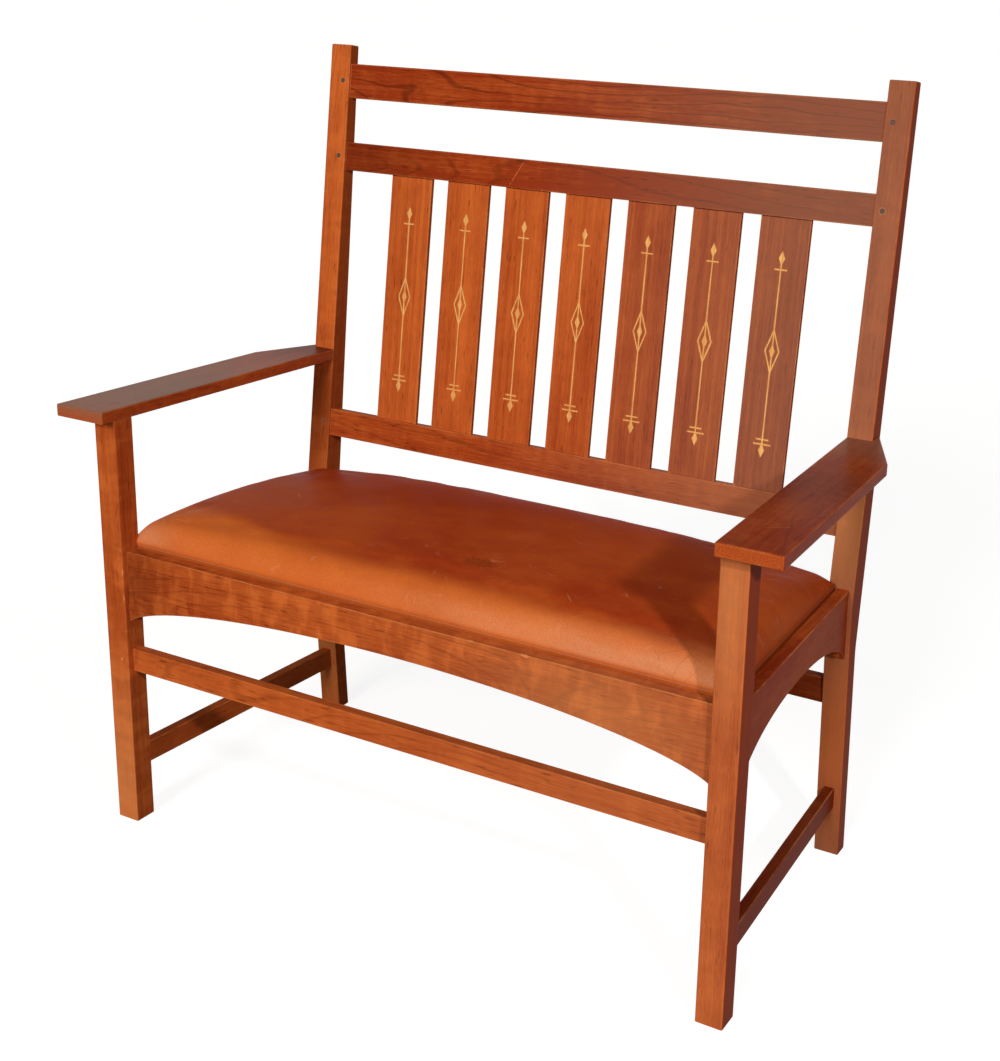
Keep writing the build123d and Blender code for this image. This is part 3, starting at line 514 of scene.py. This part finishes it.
class SETTLE_OT_hidden(bpy.types.Operator):
    """Finishes the plain wood, screws and tacks under the seat"""
    bl_idname = "settle.hidden"
    bl_label = "Cleats, blocks and screws"

    def execute(self, context):
        for seed, (node, along) in enumerate(PLAIN_WOOD.items(), start=40):
            s = Shades(f"plain_wood_{node}")
            grain = s.mapped(along_grain(s, along, False), move=(seed * 0.9, seed * 0.4, seed * 0.2))
            field = s.streaks(grain, 1.2, 13.0)
            ring = s.span(s.math("SINE", s.times(field, RINGS)), 0.1, 1.0)
            fibre = s.streaks(grain, 12.0, 500.0, 3.0, 0.65)
            base = s.mix(s.span(fibre, 0.3, 0.7), colour(164, 124, 82), colour(206, 172, 124))
            base = s.mix(s.times(ring, 0.4), base, colour(138, 96, 58))
            dress(node, s.finish(base, 0.7, s.bump(fibre, 0.0002, 0.4)))
        s = Shades("screw_steel")
        brushed = s.noise(s.mapped(s.object_place, scale=(300.0, 300.0, 2200.0)), 1.0)
        base = s.mix(s.span(brushed, 0.3, 0.7), colour(120, 118, 112), colour(176, 172, 162))
        gloss = s.span(brushed, 0.3, 0.7, 0.3, 0.5)
        steel = s.finish(base, gloss, s.bump(brushed, 0.00005, 0.3), Metallic=1.0)
        for node in ("cleat_screws", "corner_block_screws", "cover_tacks"):
            dress(node, steel)
        return {"FINISHED"}


# Seat
def seat_plan():
    """Half widths of the seat at its front and back edges, read from the leather's solid."""
    points = np.array([v.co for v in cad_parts["leather_cover"].data.vertices])
    front = points[points[:, 1] < PAD_LOW.y + 0.012]
    back = points[points[:, 1] > PAD_HIGH.y - 0.001]
    return front[:, 0].max(), back[:, 0].max()


class CushionSettings(bpy.types.PropertyGroup):
    lip: bpy.props.FloatProperty(
        name="Lip", description="Straight edge above the rails in millimetres", default=5.0, min=0, max=30)
    roll_middle: bpy.props.FloatProperty(
        name="Front roll", description="Height of the front and back rolls at the middle in millimetres",
        default=45.0, min=5, max=80)
    roll_end: bpy.props.FloatProperty(
        name="End roll", description="Height of the rolls near the ends in millimetres",
        default=32.0, min=5, max=80)
    crown_middle: bpy.props.FloatProperty(
        name="Crown", description="Rise of the crown above the rolls at the middle in millimetres",
        default=16.0, min=0, max=60)
    crown_end: bpy.props.FloatProperty(
        name="End crown", description="Rise of the crown near the ends in millimetres",
        default=7.5, min=0, max=60)
    rear_drop: bpy.props.FloatProperty(
        name="Rear corner drop", description="Share of the height lost at the rear corners", default=0.50,
        min=0, max=0.6, subtype="FACTOR")
    thickness: bpy.props.FloatProperty(
        name="Leather", description="Thickness of the leather in millimetres", default=1.6, min=0.5, max=4)
    swell: bpy.props.FloatProperty(
        name="Swell", description="Most that the stuffing may push the leather out, in millimetres",
        default=2.0, min=0, max=20)


def cushion_points(look, inset, across, deep):
    """The seat's crowned top as a grid.

    Depth positions follow a quarter roll, a shallow arch and a quarter roll back down. The height is that
    profile, scaled by a quarter ellipse towards each end, by how far the crown falls off along the seat, and
    by a drop towards the two rear corners. Width positions are evenly spaced, then bunched round each end's
    roll.
    """
    front_half, back_half = seat_plan()
    y0, y1 = PAD_LOW.y + inset, PAD_HIGH.y - inset
    half_front, half_back = front_half - inset, back_half - inset
    end_roll = look.roll_end * MM - inset
    end_turn = np.linspace(0, math.pi / 2, END_STEPS)
    end_part = half_front - end_roll * (1 - np.cos(end_turn))
    steps = np.linspace(end_part[-1], 0, across)[1:]
    half_x = np.concatenate([end_part, steps])
    x_share = np.concatenate([-half_x, half_x[:-1][::-1]]) / half_front
    lift = np.concatenate([np.sin(end_turn), np.ones(len(steps))])
    lift = np.concatenate([lift, lift[:-1][::-1]])
    swell = 1 - x_share**2
    roll = (look.roll_end + (look.roll_middle - look.roll_end) * swell) * MM - inset
    crown = (look.crown_end + (look.crown_middle - look.crown_end) * swell) * MM
    roll_turn = np.linspace(0, ROLL_TURN, ROLL_STEPS)
    out_roll = 1 - np.cos(roll_turn)
    up_roll = np.sin(roll_turn)
    depth = y1 - y0
    inner = np.linspace(0, 1, deep)[1:-1]
    roll, crown = roll[:, None], crown[:, None]
    edge = roll * out_roll[-1]
    bow = (1 - (2 * inner - 1) ** 2) ** ARCH_POWER
    arch = roll * up_roll[-1] + (crown + roll * (1 - up_roll[-1])) * bow
    middle = edge + (depth - 2 * edge) * inner
    out = np.concatenate([roll * out_roll, middle, depth - (roll * out_roll)[:, ::-1]], axis=1)
    up = np.concatenate([roll * up_roll, arch, (roll * up_roll)[:, ::-1]], axis=1) * lift[:, None]
    share = out / depth
    up *= 1 - look.rear_drop * share**2 * (1 - swell[:, None]) ** 2
    x = x_share[:, None] * (half_front + (half_back - half_front) * share)
    y = y0 + out
    z = RAIL_TOP + look.lip * MM + up
    return np.stack([x, y, z], axis=-1)


def clear_of_posts(points, gap):
    """Draws points out of the two front posts, to whichever of their faces is nearer."""
    x_limit = POST_LOW.x - gap
    y_limit = POST_HIGH.y + gap
    inside = (np.abs(points[..., 0]) > x_limit) & (points[..., 1] < y_limit)
    to_x = np.abs(points[..., 0]) - x_limit
    to_y = y_limit - points[..., 1]
    push_x = inside & (to_x <= to_y)
    push_y = inside & (to_x > to_y)
    points[..., 0] = np.where(push_x, np.sign(points[..., 0]) * x_limit, points[..., 0])
    points[..., 1] = np.where(push_y, y_limit, points[..., 1])
    return points


def grid_faces(rows, columns, start=0):
    """Quads of a grid of points numbered row by row."""
    index = start + np.arange(rows * columns).reshape(rows, columns)
    corners = [index[:-1, :-1], index[:-1, 1:], index[1:, 1:], index[1:, :-1]]
    return np.stack(corners, axis=-1).reshape(-1, 4)


def make_mesh(name, points, faces):
    """A mesh object at the origin with the given points and faces."""
    mesh = bpy.data.meshes.new(name)
    mesh.from_pydata(np.asarray(points).reshape(-1, 3).tolist(), [], [list(map(int, f)) for f in faces])
    mesh.update()
    made = bpy.data.objects.new(name, mesh)
    bpy.context.scene.collection.objects.link(made)
    return made


def walled(made, thickness):
    """Gives a surface a wall behind its faces."""
    wall = made.modifiers.new("thickness", "SOLIDIFY")
    wall.thickness = thickness
    wall.offset = -1.0


def rim(points):
    """The outer points of a grid, in order round it."""
    return np.concatenate([points[:, 0], points[-1, 1:], points[:-1, -1][::-1], points[0, 1:-1][::-1]])


def rim_index(rows, columns):
    """The numbers of a grid's outer points, in the same order."""
    index = np.arange(rows * columns).reshape(rows, columns)
    return rim(index[..., None])[:, 0]


def cushion_shell(name, look, inset, across, deep, floor_z, hem):
    """The crowned top with walls down to its floor, a hem turned in under it and one face that closes it."""
    top = clear_of_posts(cushion_points(look, inset, across, deep), inset)
    rows, columns = top.shape[:2]
    edge = rim(top)
    centre = edge.mean(axis=0)[:2]
    out = edge[:, :2] - centre
    reach = np.abs(out).max(axis=0)
    seam, below_seam = RAIL_TOP + look.lip * MM - 0.0012, RAIL_TOP + 0.0005
    walls = ((seam, 0.0007), (below_seam, 0.0002), ((RAIL_TOP + floor_z) / 2, 0.0), (floor_z, 0.0))
    plans = [(level, edge[:, :2] - np.sign(out) * drawn) for level, drawn in walls]
    plans += [(floor_z, centre + out * (1 - hem * share / reach)) for share in (0.33, 0.66, 1.0)]
    rings = [np.column_stack([plan, np.full(len(edge), level)]) for level, plan in plans]
    faces = [grid_faces(rows, columns)[:, ::-1]]
    above = rim_index(rows, columns)
    start = rows * columns
    for _ in rings:
        below = np.arange(start, start + len(edge))
        faces.append(np.stack([above, np.roll(above, -1), np.roll(below, -1), below], axis=-1)[:, ::-1])
        above, start = below, start + len(edge)
    faces = [list(f) for block in faces for f in block]
    faces.append(list(above[::-1]))
    return make_mesh(name, np.concatenate([top.reshape(-1, 3)] + rings), faces)


def sealed(made):
    """Merges the points that the posts pushed together, turns the faces outwards and smooths them."""
    mesh = bmesh.new()
    mesh.from_mesh(made.data)
    bmesh.ops.remove_doubles(mesh, verts=mesh.verts, dist=MERGE)
    wires = [edge for edge in mesh.edges if not edge.link_faces]
    bmesh.ops.delete(mesh, geom=wires, context="EDGES")
    bmesh.ops.recalc_face_normals(mesh, faces=mesh.faces)
    mesh.to_mesh(made.data)
    mesh.free()
    made.data.polygons.foreach_set("use_smooth", [True] * len(made.data.polygons))


def open_under(made):
    """Takes out the face that closed the underside for the simulation."""
    mesh = bmesh.new()
    mesh.from_mesh(made.data)
    bmesh.ops.delete(mesh, geom=[f for f in mesh.faces if len(f.verts) > 4], context="FACES_ONLY")
    mesh.to_mesh(made.data)
    mesh.free()


def vectors(points, kind):
    """A vector of each point of a mesh, as rows."""
    values = np.empty(len(points) * 3, dtype=np.float32)
    points.foreach_get(kind, values)
    return values.reshape(-1, 3)


def swell_leather(made, look):
    """Blows the leather out a little with cloth simulation.

    Each point keeps the part of its move that lies along its outward normal, up to a cap that grows with its
    height above the lip.
    """
    start = vectors(made.data.vertices, "co")
    normal = vectors(made.data.vertices, "normal")
    height = np.clip((start[:, 2] - RAIL_TOP - look.lip * MM) / SWELL_HEIGHT, 0, 1)
    group = made.vertex_groups.new(name="held")
    group.add(np.nonzero(height <= 0.02)[0].tolist(), 1.0, "REPLACE")
    cloth = made.modifiers.new("leather", "CLOTH")
    cloth.settings.quality = 6
    cloth.settings.mass = 0.4
    cloth.settings.tension_stiffness = 60
    cloth.settings.compression_stiffness = 60
    cloth.settings.shear_stiffness = 30
    cloth.settings.bending_stiffness = 2.0
    cloth.settings.use_pressure = True
    cloth.settings.uniform_pressure_force = 4.0
    cloth.settings.vertex_group_mass = "held"
    cloth.settings.effector_weights.gravity = 0.0
    cloth.settings.shrink_min = -0.004
    for number in range(1, SWELL_FRAMES + 1):
        bpy.context.scene.frame_set(number)
    graph = bpy.context.evaluated_depsgraph_get()
    solved = made.evaluated_get(graph)
    move = vectors(solved.to_mesh().vertices, "co") - start
    solved.to_mesh_clear()
    push = np.clip(np.sum(move * normal, axis=1), 0, look.swell * MM * height)
    moved, kept = np.linalg.norm(move, axis=1).max(), push.max()
    print(f"The leather moved up to {moved:.4f} m and kept up to {kept:.4f} m")
    made.modifiers.clear()
    made.vertex_groups.clear()
    end = clear_of_posts(start + normal * push[:, None], 0.0)
    made.data.vertices.foreach_set("co", end.astype(np.float32).ravel())
    made.data.update()
    bpy.context.scene.frame_set(1)


class LeatherSettings(bpy.types.PropertyGroup):
    tan: colour_setting("Tan", "Colour of the bright worn leather", 222, 112, 46)
    # The deep tan gives the top its painted shade behind the front roll, and the dark side of the mottling
    deep: colour_setting("Deep tan", "Colour where oil and dirt have darkened it", 166, 58, 22)
    crease: colour_setting("Creases", "Colour in folds and old stains", 92, 32, 13)
    # The pale rubbed colour serves the scratches, crackle and lip line, and also the painted sheen on the
    # front roll
    rubbed: colour_setting("Rubbed", "Greyish bloom where the finish is rubbed", 226, 164, 122)
    roughness: bpy.props.FloatProperty(
        name="Roughness", description="How matt the leather is", default=0.44, min=0, max=1, subtype="FACTOR")


def leather(look):
    """Waxed leather.

    Mottled tan with crackle at the ends, thin scratches, a stain, a paler line along the lip, darker low
    down, and pebbled grain. The top behind the front roll is painted deeper as painted shade, the right end
    is painted lighter as painted light, and a painted sheen runs along the front roll.
    """
    s = Shades("worn_leather")
    place = s.object_place
    x, y, z = s.parts(place)
    deep, crease, rubbed = (*look.deep, 1), (*look.crease, 1), (*look.rubbed, 1)
    mottle = s.noise(place, 5.5, 3.0, 0.55)
    blotch = s.noise(s.mapped(place, scale=(1.0, 1.8, 1.0)), 15.0, 3.0, 0.6)
    # Painted shade: the top behind the front roll is painted deeper, drawn back at the left end, deeper
    # towards the back edge
    shifted = s.math("SUBTRACT", y, s.span(x, -0.18, -0.46, 0.0, 0.055))
    back = s.add(s.span(shifted, PAD_LOW.y + 0.014, PAD_LOW.y + 0.055, 0.0, 0.72),
                 s.span(y, PAD_HIGH.y - 0.16, PAD_HIGH.y - 0.02, 0.0, 0.2))
    # The mottled tone is painted lighter at the right end: painted light
    tone = s.add(s.span(mottle, 0.30, 0.70, -0.12, 0.12), s.span(blotch, 0.3, 0.7, -0.10, 0.10),
                 s.span(x, 0.40, 0.50, 0.90, 1.15))
    base = s.mix(s.math("SUBTRACT", tone, back), deep, (*look.tan, 1))
    # Painted sheen: a streaked pale band low on the front roll, growing towards the right and at the left end
    sheen_band = s.times(s.span(z, RAIL_TOP + 0.004, RAIL_TOP + 0.014),
                         s.span(z, RAIL_TOP + 0.050, RAIL_TOP + 0.022),
                         s.span(y, PAD_LOW.y + 0.06, PAD_LOW.y + 0.03))
    sheen_streaks = s.span(s.streaks(place, 5.0, 16.0, 4.0, 0.65), 0.36, 0.72, 0.5, 1.0)
    sheen_to_right = s.add(s.span(x, -0.15, 0.42, 0.10, 0.85), s.span(x, -0.38, -0.46, 0.0, 0.5))
    rub = s.times(sheen_band, sheen_streaks, sheen_to_right)
    base = s.mix(s.times(rub, 0.75), base, rubbed)
    crackle = s.span(s.cells(place, 34.0, "DISTANCE_TO_EDGE"), 0.045, 0.0)
    ends = s.span(s.math("ABSOLUTE", x), 0.33, 0.47)
    some = s.span(s.noise(place, 9.0), 0.46, 0.66)
    crackle = s.times(crackle, ends, some)
    vein = s.mix(s.span(x, -0.2, 0.2), rubbed, crease)
    base = s.mix(s.times(crackle, 0.30), base, vein)
    scratches = 0.0
    for turn, seed in SCRATCHES:
        turned = s.mapped(place, move=(seed, seed, seed), turn=(0, 0, turn))
        long_cells = s.cells(s.mapped(turned, scale=(7.0, 42.0, 7.0)), 1.0, "DISTANCE_TO_EDGE")
        shown = s.span(s.noise(turned, 22.0 + seed, 1.0), 0.62, 0.74)
        scratches = s.math("MAXIMUM", s.times(s.span(long_cells, 0.016, 0.005), shown), scratches)
    stain = marked(s, Mark((0.065, -0.146, 0.495), (0.028, 0.013, 0.05), 0.4))
    lip = s.times(s.span(z, RAIL_TOP + 0.0034, RAIL_TOP + 0.0042),
                  s.span(z, RAIL_TOP + 0.0058, RAIL_TOP + 0.0050))
    low = s.span(z, RAIL_TOP + 0.012, RAIL_TOP)
    pebble = s.cells(place, 620.0)
    for amount, shade in (
            (s.times(scratches, 0.24), rubbed),
            (stain, crease),
            (s.times(lip, 0.5), rubbed),
            (s.times(low, 0.45), crease),
            (s.span(pebble, 0.35, 0.75, 0.0, 0.14), crease)):
        base = s.mix(amount, base, shade)
    normal = s.bump(pebble, 0.0003, 0.22)
    normal = s.bump(s.noise(place, 900.0, 3.0, 0.6), 0.0001, 0.25, normal)
    normal = s.bump(s.noise(place, 38.0, 3.0, 0.55), 0.0012, 0.22, normal)
    normal = s.bump(crackle, 0.0006, 0.5, normal)
    gloss = s.add(s.span(blotch, 0.3, 0.7, -0.05, 0.08), look.roughness, s.times(rub, 0.08))
    return s.finish(base, gloss, normal, Specular_IOR_Level=0.015)


class SETTLE_OT_cushion(bpy.types.Operator):
    """Makes the leather cover over its foam, swelled by simulation, with its hem turned under"""
    bl_idname = "settle.cushion"
    bl_label = "Leather seat"

    def execute(self, context):
        look = context.scene.settle_cushion
        cover = cushion_shell("leather_seat", look, inset=0.0, across=60, deep=48,
                              floor_z=PAD_LOW.z + 0.0002, hem=0.034)
        sealed(cover)
        swell_leather(cover, look)
        open_under(cover)
        finer = cover.modifiers.new("finer", "SUBSURF")
        finer.levels = finer.render_levels = 1
        walled(cover, look.thickness * MM)
        cover.data.materials.append(leather(context.scene.settle_leather))
        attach(cover, "seat")
        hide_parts("leather_cover")
        foam = cushion_shell("foam_pad", look, inset=0.0026, across=30, deep=20,
                             floor_z=FOAM_LOW.z + 0.0001, hem=0.01)
        sealed(foam)
        s = Shades("seat_foam")
        bubbles = s.cells(s.object_place, 1500.0)
        base = s.mix(s.span(bubbles, 0.2, 0.7), colour(214, 198, 150), colour(232, 220, 180))
        foam.data.materials.append(s.finish(base, 0.95, s.bump(bubbles, 0.0003, 0.5)))
        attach(foam, "seat")
        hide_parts("seat_foam")
        return {"FINISHED"}


class SETTLE_OT_under_seat(bpy.types.Operator):
    """Makes the woven webbing straps and the dust cloth under the seat frame"""
    bl_idname = "settle.under_seat"
    bl_label = "Webbing and dust cloth"

    def execute(self, context):
        self.straps()
        self.dust_cloth()
        return {"FINISHED"}

    @staticmethod
    def straps():
        """Straps side by side, each sagging by half a sine between the frame members that hold its ends."""
        low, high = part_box("seat_webbing")
        count, width = 11, 0.050
        held, sag = 0.12, 0.0015
        u = np.linspace(-0.5, 0.5, 7)
        v = np.linspace(0, 1, 41)
        across, along = np.meshgrid(u * width, v)
        free = (along > held) & (along < 1 - held)
        y = low.y + (high.y - low.y) * along
        z = low.z + 0.0011 - np.where(free, sag * np.sin(math.pi * (along - held) / (1 - 2 * held)), 0.0)
        points, faces = [], []
        for number, centre in enumerate(np.linspace(low.x + width / 2, high.x - width / 2, count)):
            points.append(np.stack([across + centre, y, z], axis=-1).reshape(-1, 3))
            faces.append(grid_faces(len(v), len(u), number * len(u) * len(v)))
        straps = make_mesh("webbing_straps", np.concatenate(points), np.concatenate(faces))
        walled(straps, 0.001)
        s = Shades("jute_webbing")
        weave = s.weave(0.0022)
        base = s.mix(s.span(weave, -0.6, 0.6), colour(132, 104, 66), colour(190, 162, 112))
        stripe = s.span(s.noise(s.object_place, 300.0), 0.4, 0.7, 0.0, 0.4)
        base = s.mix(stripe, base, colour(150, 122, 80))
        straps.data.materials.append(s.finish(base, 0.9, s.bump(weave, 0.0004, 0.6)))
        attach(straps, "seat")
        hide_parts("seat_webbing")

    @staticmethod
    def dust_cloth():
        """A cloth that narrows to the back with the seat and sags by a parabola each way."""
        low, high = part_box("dust_cover")
        front_half, back_half = seat_plan()
        rows, columns = 25, 49
        share, across = np.meshgrid(np.linspace(0, 1, rows), np.linspace(-1, 1, columns), indexing="ij")
        y = low.y + share * (high.y - low.y)
        to_back = (y - PAD_LOW.y) / (PAD_HIGH.y - PAD_LOW.y)
        x = across * (front_half + (back_half - front_half) * to_back) * high.x / front_half
        z = high.z - 0.0001 - 0.0025 * (1 - across**2) * (1 - (2 * share - 1) ** 2)
        cloth = make_mesh("dust_cloth", np.stack([x, y, z], axis=-1), grid_faces(rows, columns))
        walled(cloth, 0.0004)
        s = Shades("black_dust_cloth")
        fade = s.noise(s.object_place, 8.0, 3.0)
        base = s.mix(s.span(fade, 0.35, 0.7), colour(24, 23, 24), colour(44, 42, 42))
        cloth.data.materials.append(s.finish(base, 0.95, s.bump(s.weave(0.0012), 0.0002, 0.4)))
        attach(cloth, "seat")
        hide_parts("dust_cover")


# Camera, floor and light
class StageSettings(bpy.types.PropertyGroup):
    eye: bpy.props.FloatVectorProperty(
        name="Camera", description="Place of the camera", size=3, default=(1.1411, -1.8213, 1.2605),
        subtype="XYZ", unit="LENGTH")
    yaw: bpy.props.FloatProperty(
        name="Yaw", description="Camera turned to the left of +Y", default=0.4798, subtype="ANGLE")
    pitch: bpy.props.FloatProperty(
        name="Pitch", description="Camera tilted up", default=-0.2926, subtype="ANGLE")
    roll: bpy.props.FloatProperty(
        name="Roll", description="Camera rolled", default=-0.0352, subtype="ANGLE")
    focal: bpy.props.FloatProperty(
        name="Focal length", description="In pixels of the photograph", default=1580.9)
    centre: bpy.props.FloatVectorProperty(
        name="Principal point", description="In pixels of the photograph", size=2, default=(617.8, 446.7))
    front_light: bpy.props.FloatProperty(
        name="Front light", description="Strength of the broad light in front, watts per square metre",
        default=2.0, min=0)
    side_lamp: bpy.props.FloatProperty(
        name="Side lamp", description="Power of the small lamp on the right", default=30.0, min=0,
        unit="POWER")
    back_light: bpy.props.FloatProperty(
        name="Back light", description="Strength of the low light behind, watts per square metre",
        default=0.8, min=0)
    world_strength: bpy.props.FloatProperty(
        name="Room light", description="Strength of the even light", default=0.07, min=0)
    floor: bpy.props.FloatVectorProperty(
        name="Floor", description="Colour of the pale floor", subtype="COLOR", size=3, min=0, max=1,
        default=(0.40, 0.40, 0.40))
    floor_glow: bpy.props.FloatProperty(
        name="Floor white", description="White that the floor adds to what the light leaves", default=0.86,
        min=0)


class SETTLE_OT_stage(bpy.types.Operator):
    """Sets up the pale floor, the soft light and the camera at the photograph's angle"""
    bl_idname = "settle.stage"
    bl_label = "Stage"

    def execute(self, context):
        look = context.scene.settle_stage
        self.camera(context, look)
        self.lights(context, look)
        self.floor(look)
        context.scene.view_settings.view_transform = "Standard"
        return {"FINISHED"}

    def camera(self, context, look):
        forward = Vector((-math.sin(look.yaw) * math.cos(look.pitch),
                          math.cos(look.yaw) * math.cos(look.pitch), math.sin(look.pitch)))
        level = forward.cross(Vector((0, 0, 1))).normalized()
        under = forward.cross(level)
        right = level * math.cos(look.roll) + under * math.sin(look.roll)
        down = -level * math.sin(look.roll) + under * math.cos(look.roll)
        data = bpy.data.cameras.new("camera")
        data.sensor_width = SENSOR
        data.lens = look.focal * SENSOR / PHOTO_HEIGHT
        data.shift_x = (PHOTO_WIDTH / 2 - look.centre[0]) / PHOTO_HEIGHT
        data.shift_y = (look.centre[1] - PHOTO_HEIGHT / 2) / PHOTO_HEIGHT
        data.clip_end = 100
        camera = bpy.data.objects.new("camera", data)
        turn = Matrix((right, -down, -forward)).transposed().to_4x4()
        camera.matrix_world = Matrix.Translation(look.eye) @ turn
        context.scene.collection.objects.link(camera)
        context.scene.camera = camera

    def lamp(self, context, data, azimuth, elevation, far, strength):
        """Puts a light at a distance from the seat, turned towards it.

        The azimuth counts to the right from the front and the elevation up from the level, in degrees.
        """
        data.energy = strength
        data.color = (1.0, 0.97, 0.93)
        lamp = bpy.data.objects.new(data.name, data)
        a, e = math.radians(azimuth), math.radians(elevation)
        back = Vector((math.sin(a) * math.cos(e), -math.cos(a) * math.cos(e), math.sin(e)))
        lamp.location = Vector((POST_LOW.x, POST_LOW.y, RAIL_TOP)) + back * far
        lamp.rotation_euler = (-back).to_track_quat("-Z", "Y").to_euler()
        context.scene.collection.objects.link(lamp)
        return lamp

    @staticmethod
    def seen_rays(tree):
        """A socket that is 1 for the rays that look at a surface, and 0 for those that only light one."""
        path = tree.nodes.new("ShaderNodeLightPath")
        seen = path.outputs["Is Camera Ray"]
        for name in ("Is Glossy Ray", "Is Transmission Ray"):
            either = tree.nodes.new("ShaderNodeMath")
            either.operation = "MAXIMUM"
            tree.links.new(seen, either.inputs[0])
            tree.links.new(path.outputs[name], either.inputs[1])
            seen = either.outputs[0]
        return seen

    def lights(self, context, look):
        front = bpy.data.lights.new("front_light", "SUN")
        front.angle = SUN_WIDTH
        self.lamp(context, front, azimuth=2.0, elevation=25.0, far=4.0, strength=look.front_light)
        side = bpy.data.lights.new("side_lamp", "AREA")
        side.shape = "DISK"
        side.size = 0.16
        self.lamp(context, side, azimuth=50.0, elevation=33.0, far=2.5, strength=look.side_lamp)
        rear = bpy.data.lights.new("back_light", "SUN")
        rear.angle = SUN_WIDTH
        lamp = self.lamp(context, rear, azimuth=200.0, elevation=6.0, far=4.0, strength=look.back_light)
        # Without a gleam, because it would stand in every top that the camera looks along
        lamp.visible_glossy = False
        world = bpy.data.worlds.new("room")
        context.scene.world = world
        world.use_nodes = True
        tree = world.node_tree
        tree.nodes.clear()
        strength = tree.nodes.new("ShaderNodeMix")
        tree.links.new(self.seen_rays(tree), strength.inputs[0])
        strength.inputs[2].default_value = look.world_strength
        strength.inputs[3].default_value = 1.0
        shade = tree.nodes.new("ShaderNodeBackground")
        shade.inputs["Color"].default_value = (1, 1, 1, 1)
        tree.links.new(strength.outputs[0], shade.inputs["Strength"])
        out = tree.nodes.new("ShaderNodeOutputWorld")
        tree.links.new(shade.outputs[0], out.inputs[0])

    def floor(self, look):
        side = 60.0
        points = [(-side, -side, 0), (side, -side, 0), (side, side, 0), (-side, side, 0)]
        floor = make_mesh("floor", points, [(0, 1, 2, 3)])
        s = Shades("pale_floor")
        lit = s.node("ShaderNodeBsdfDiffuse")
        lit.inputs["Color"].default_value = (*look.floor, 1)
        glow = s.node("ShaderNodeEmission")
        s.feed(glow.inputs["Strength"], s.times(self.seen_rays(s.tree), look.floor_glow))
        both = s.node("ShaderNodeAddShader")
        s.tree.links.new(lit.outputs[0], both.inputs[0])
        s.tree.links.new(glow.outputs[0], both.inputs[1])
        out = s.node("ShaderNodeOutputMaterial")
        s.tree.links.new(both.outputs[0], out.inputs[0])
        floor.data.materials.append(s.material)


class SETTLE_PT_panel(bpy.types.Panel):
    """Lists the settle's operators in the sidebar"""
    bl_idname = "SETTLE_PT_panel"
    bl_label = "Mission settle"
    bl_space_type = "VIEW_3D"
    bl_region_type = "UI"
    bl_category = "Settle"

    def draw(self, context):
        for operator in OPERATORS:
            self.layout.operator(operator.bl_idname)
        for name in GROUPS:
            group = getattr(context.scene, f"settle_{name}")
            box = self.layout.box()
            for key in group.__annotations__:
                box.prop(group, key)


OPERATORS = (SETTLE_OT_stage, SETTLE_OT_cherry, SETTLE_OT_slats, SETTLE_OT_inlay, SETTLE_OT_hidden,
             SETTLE_OT_cushion, SETTLE_OT_under_seat)
GROUPS = {"cherry": CherrySettings, "inlay": InlaySettings, "cushion": CushionSettings,
          "leather": LeatherSettings, "stage": StageSettings}


def register():
    for group in GROUPS.values():
        bpy.utils.register_class(group)
    for name, group in GROUPS.items():
        setattr(bpy.types.Scene, f"settle_{name}", bpy.props.PointerProperty(type=group))
    for made in (*OPERATORS, SETTLE_PT_panel):
        bpy.utils.register_class(made)


def unregister():
    for made in reversed((*OPERATORS, SETTLE_PT_panel)):
        bpy.utils.unregister_class(made)
    for name, group in GROUPS.items():
        delattr(bpy.types.Scene, f"settle_{name}")
        bpy.utils.unregister_class(group)


def main():
    register()
    bpy.ops.settle.stage()
    bpy.ops.settle.cherry()
    bpy.ops.settle.slats()
    bpy.ops.settle.inlay()
    bpy.ops.settle.hidden()
    bpy.ops.settle.cushion()
    bpy.ops.settle.under_seat()


if __name__ == "__main__":
    main()
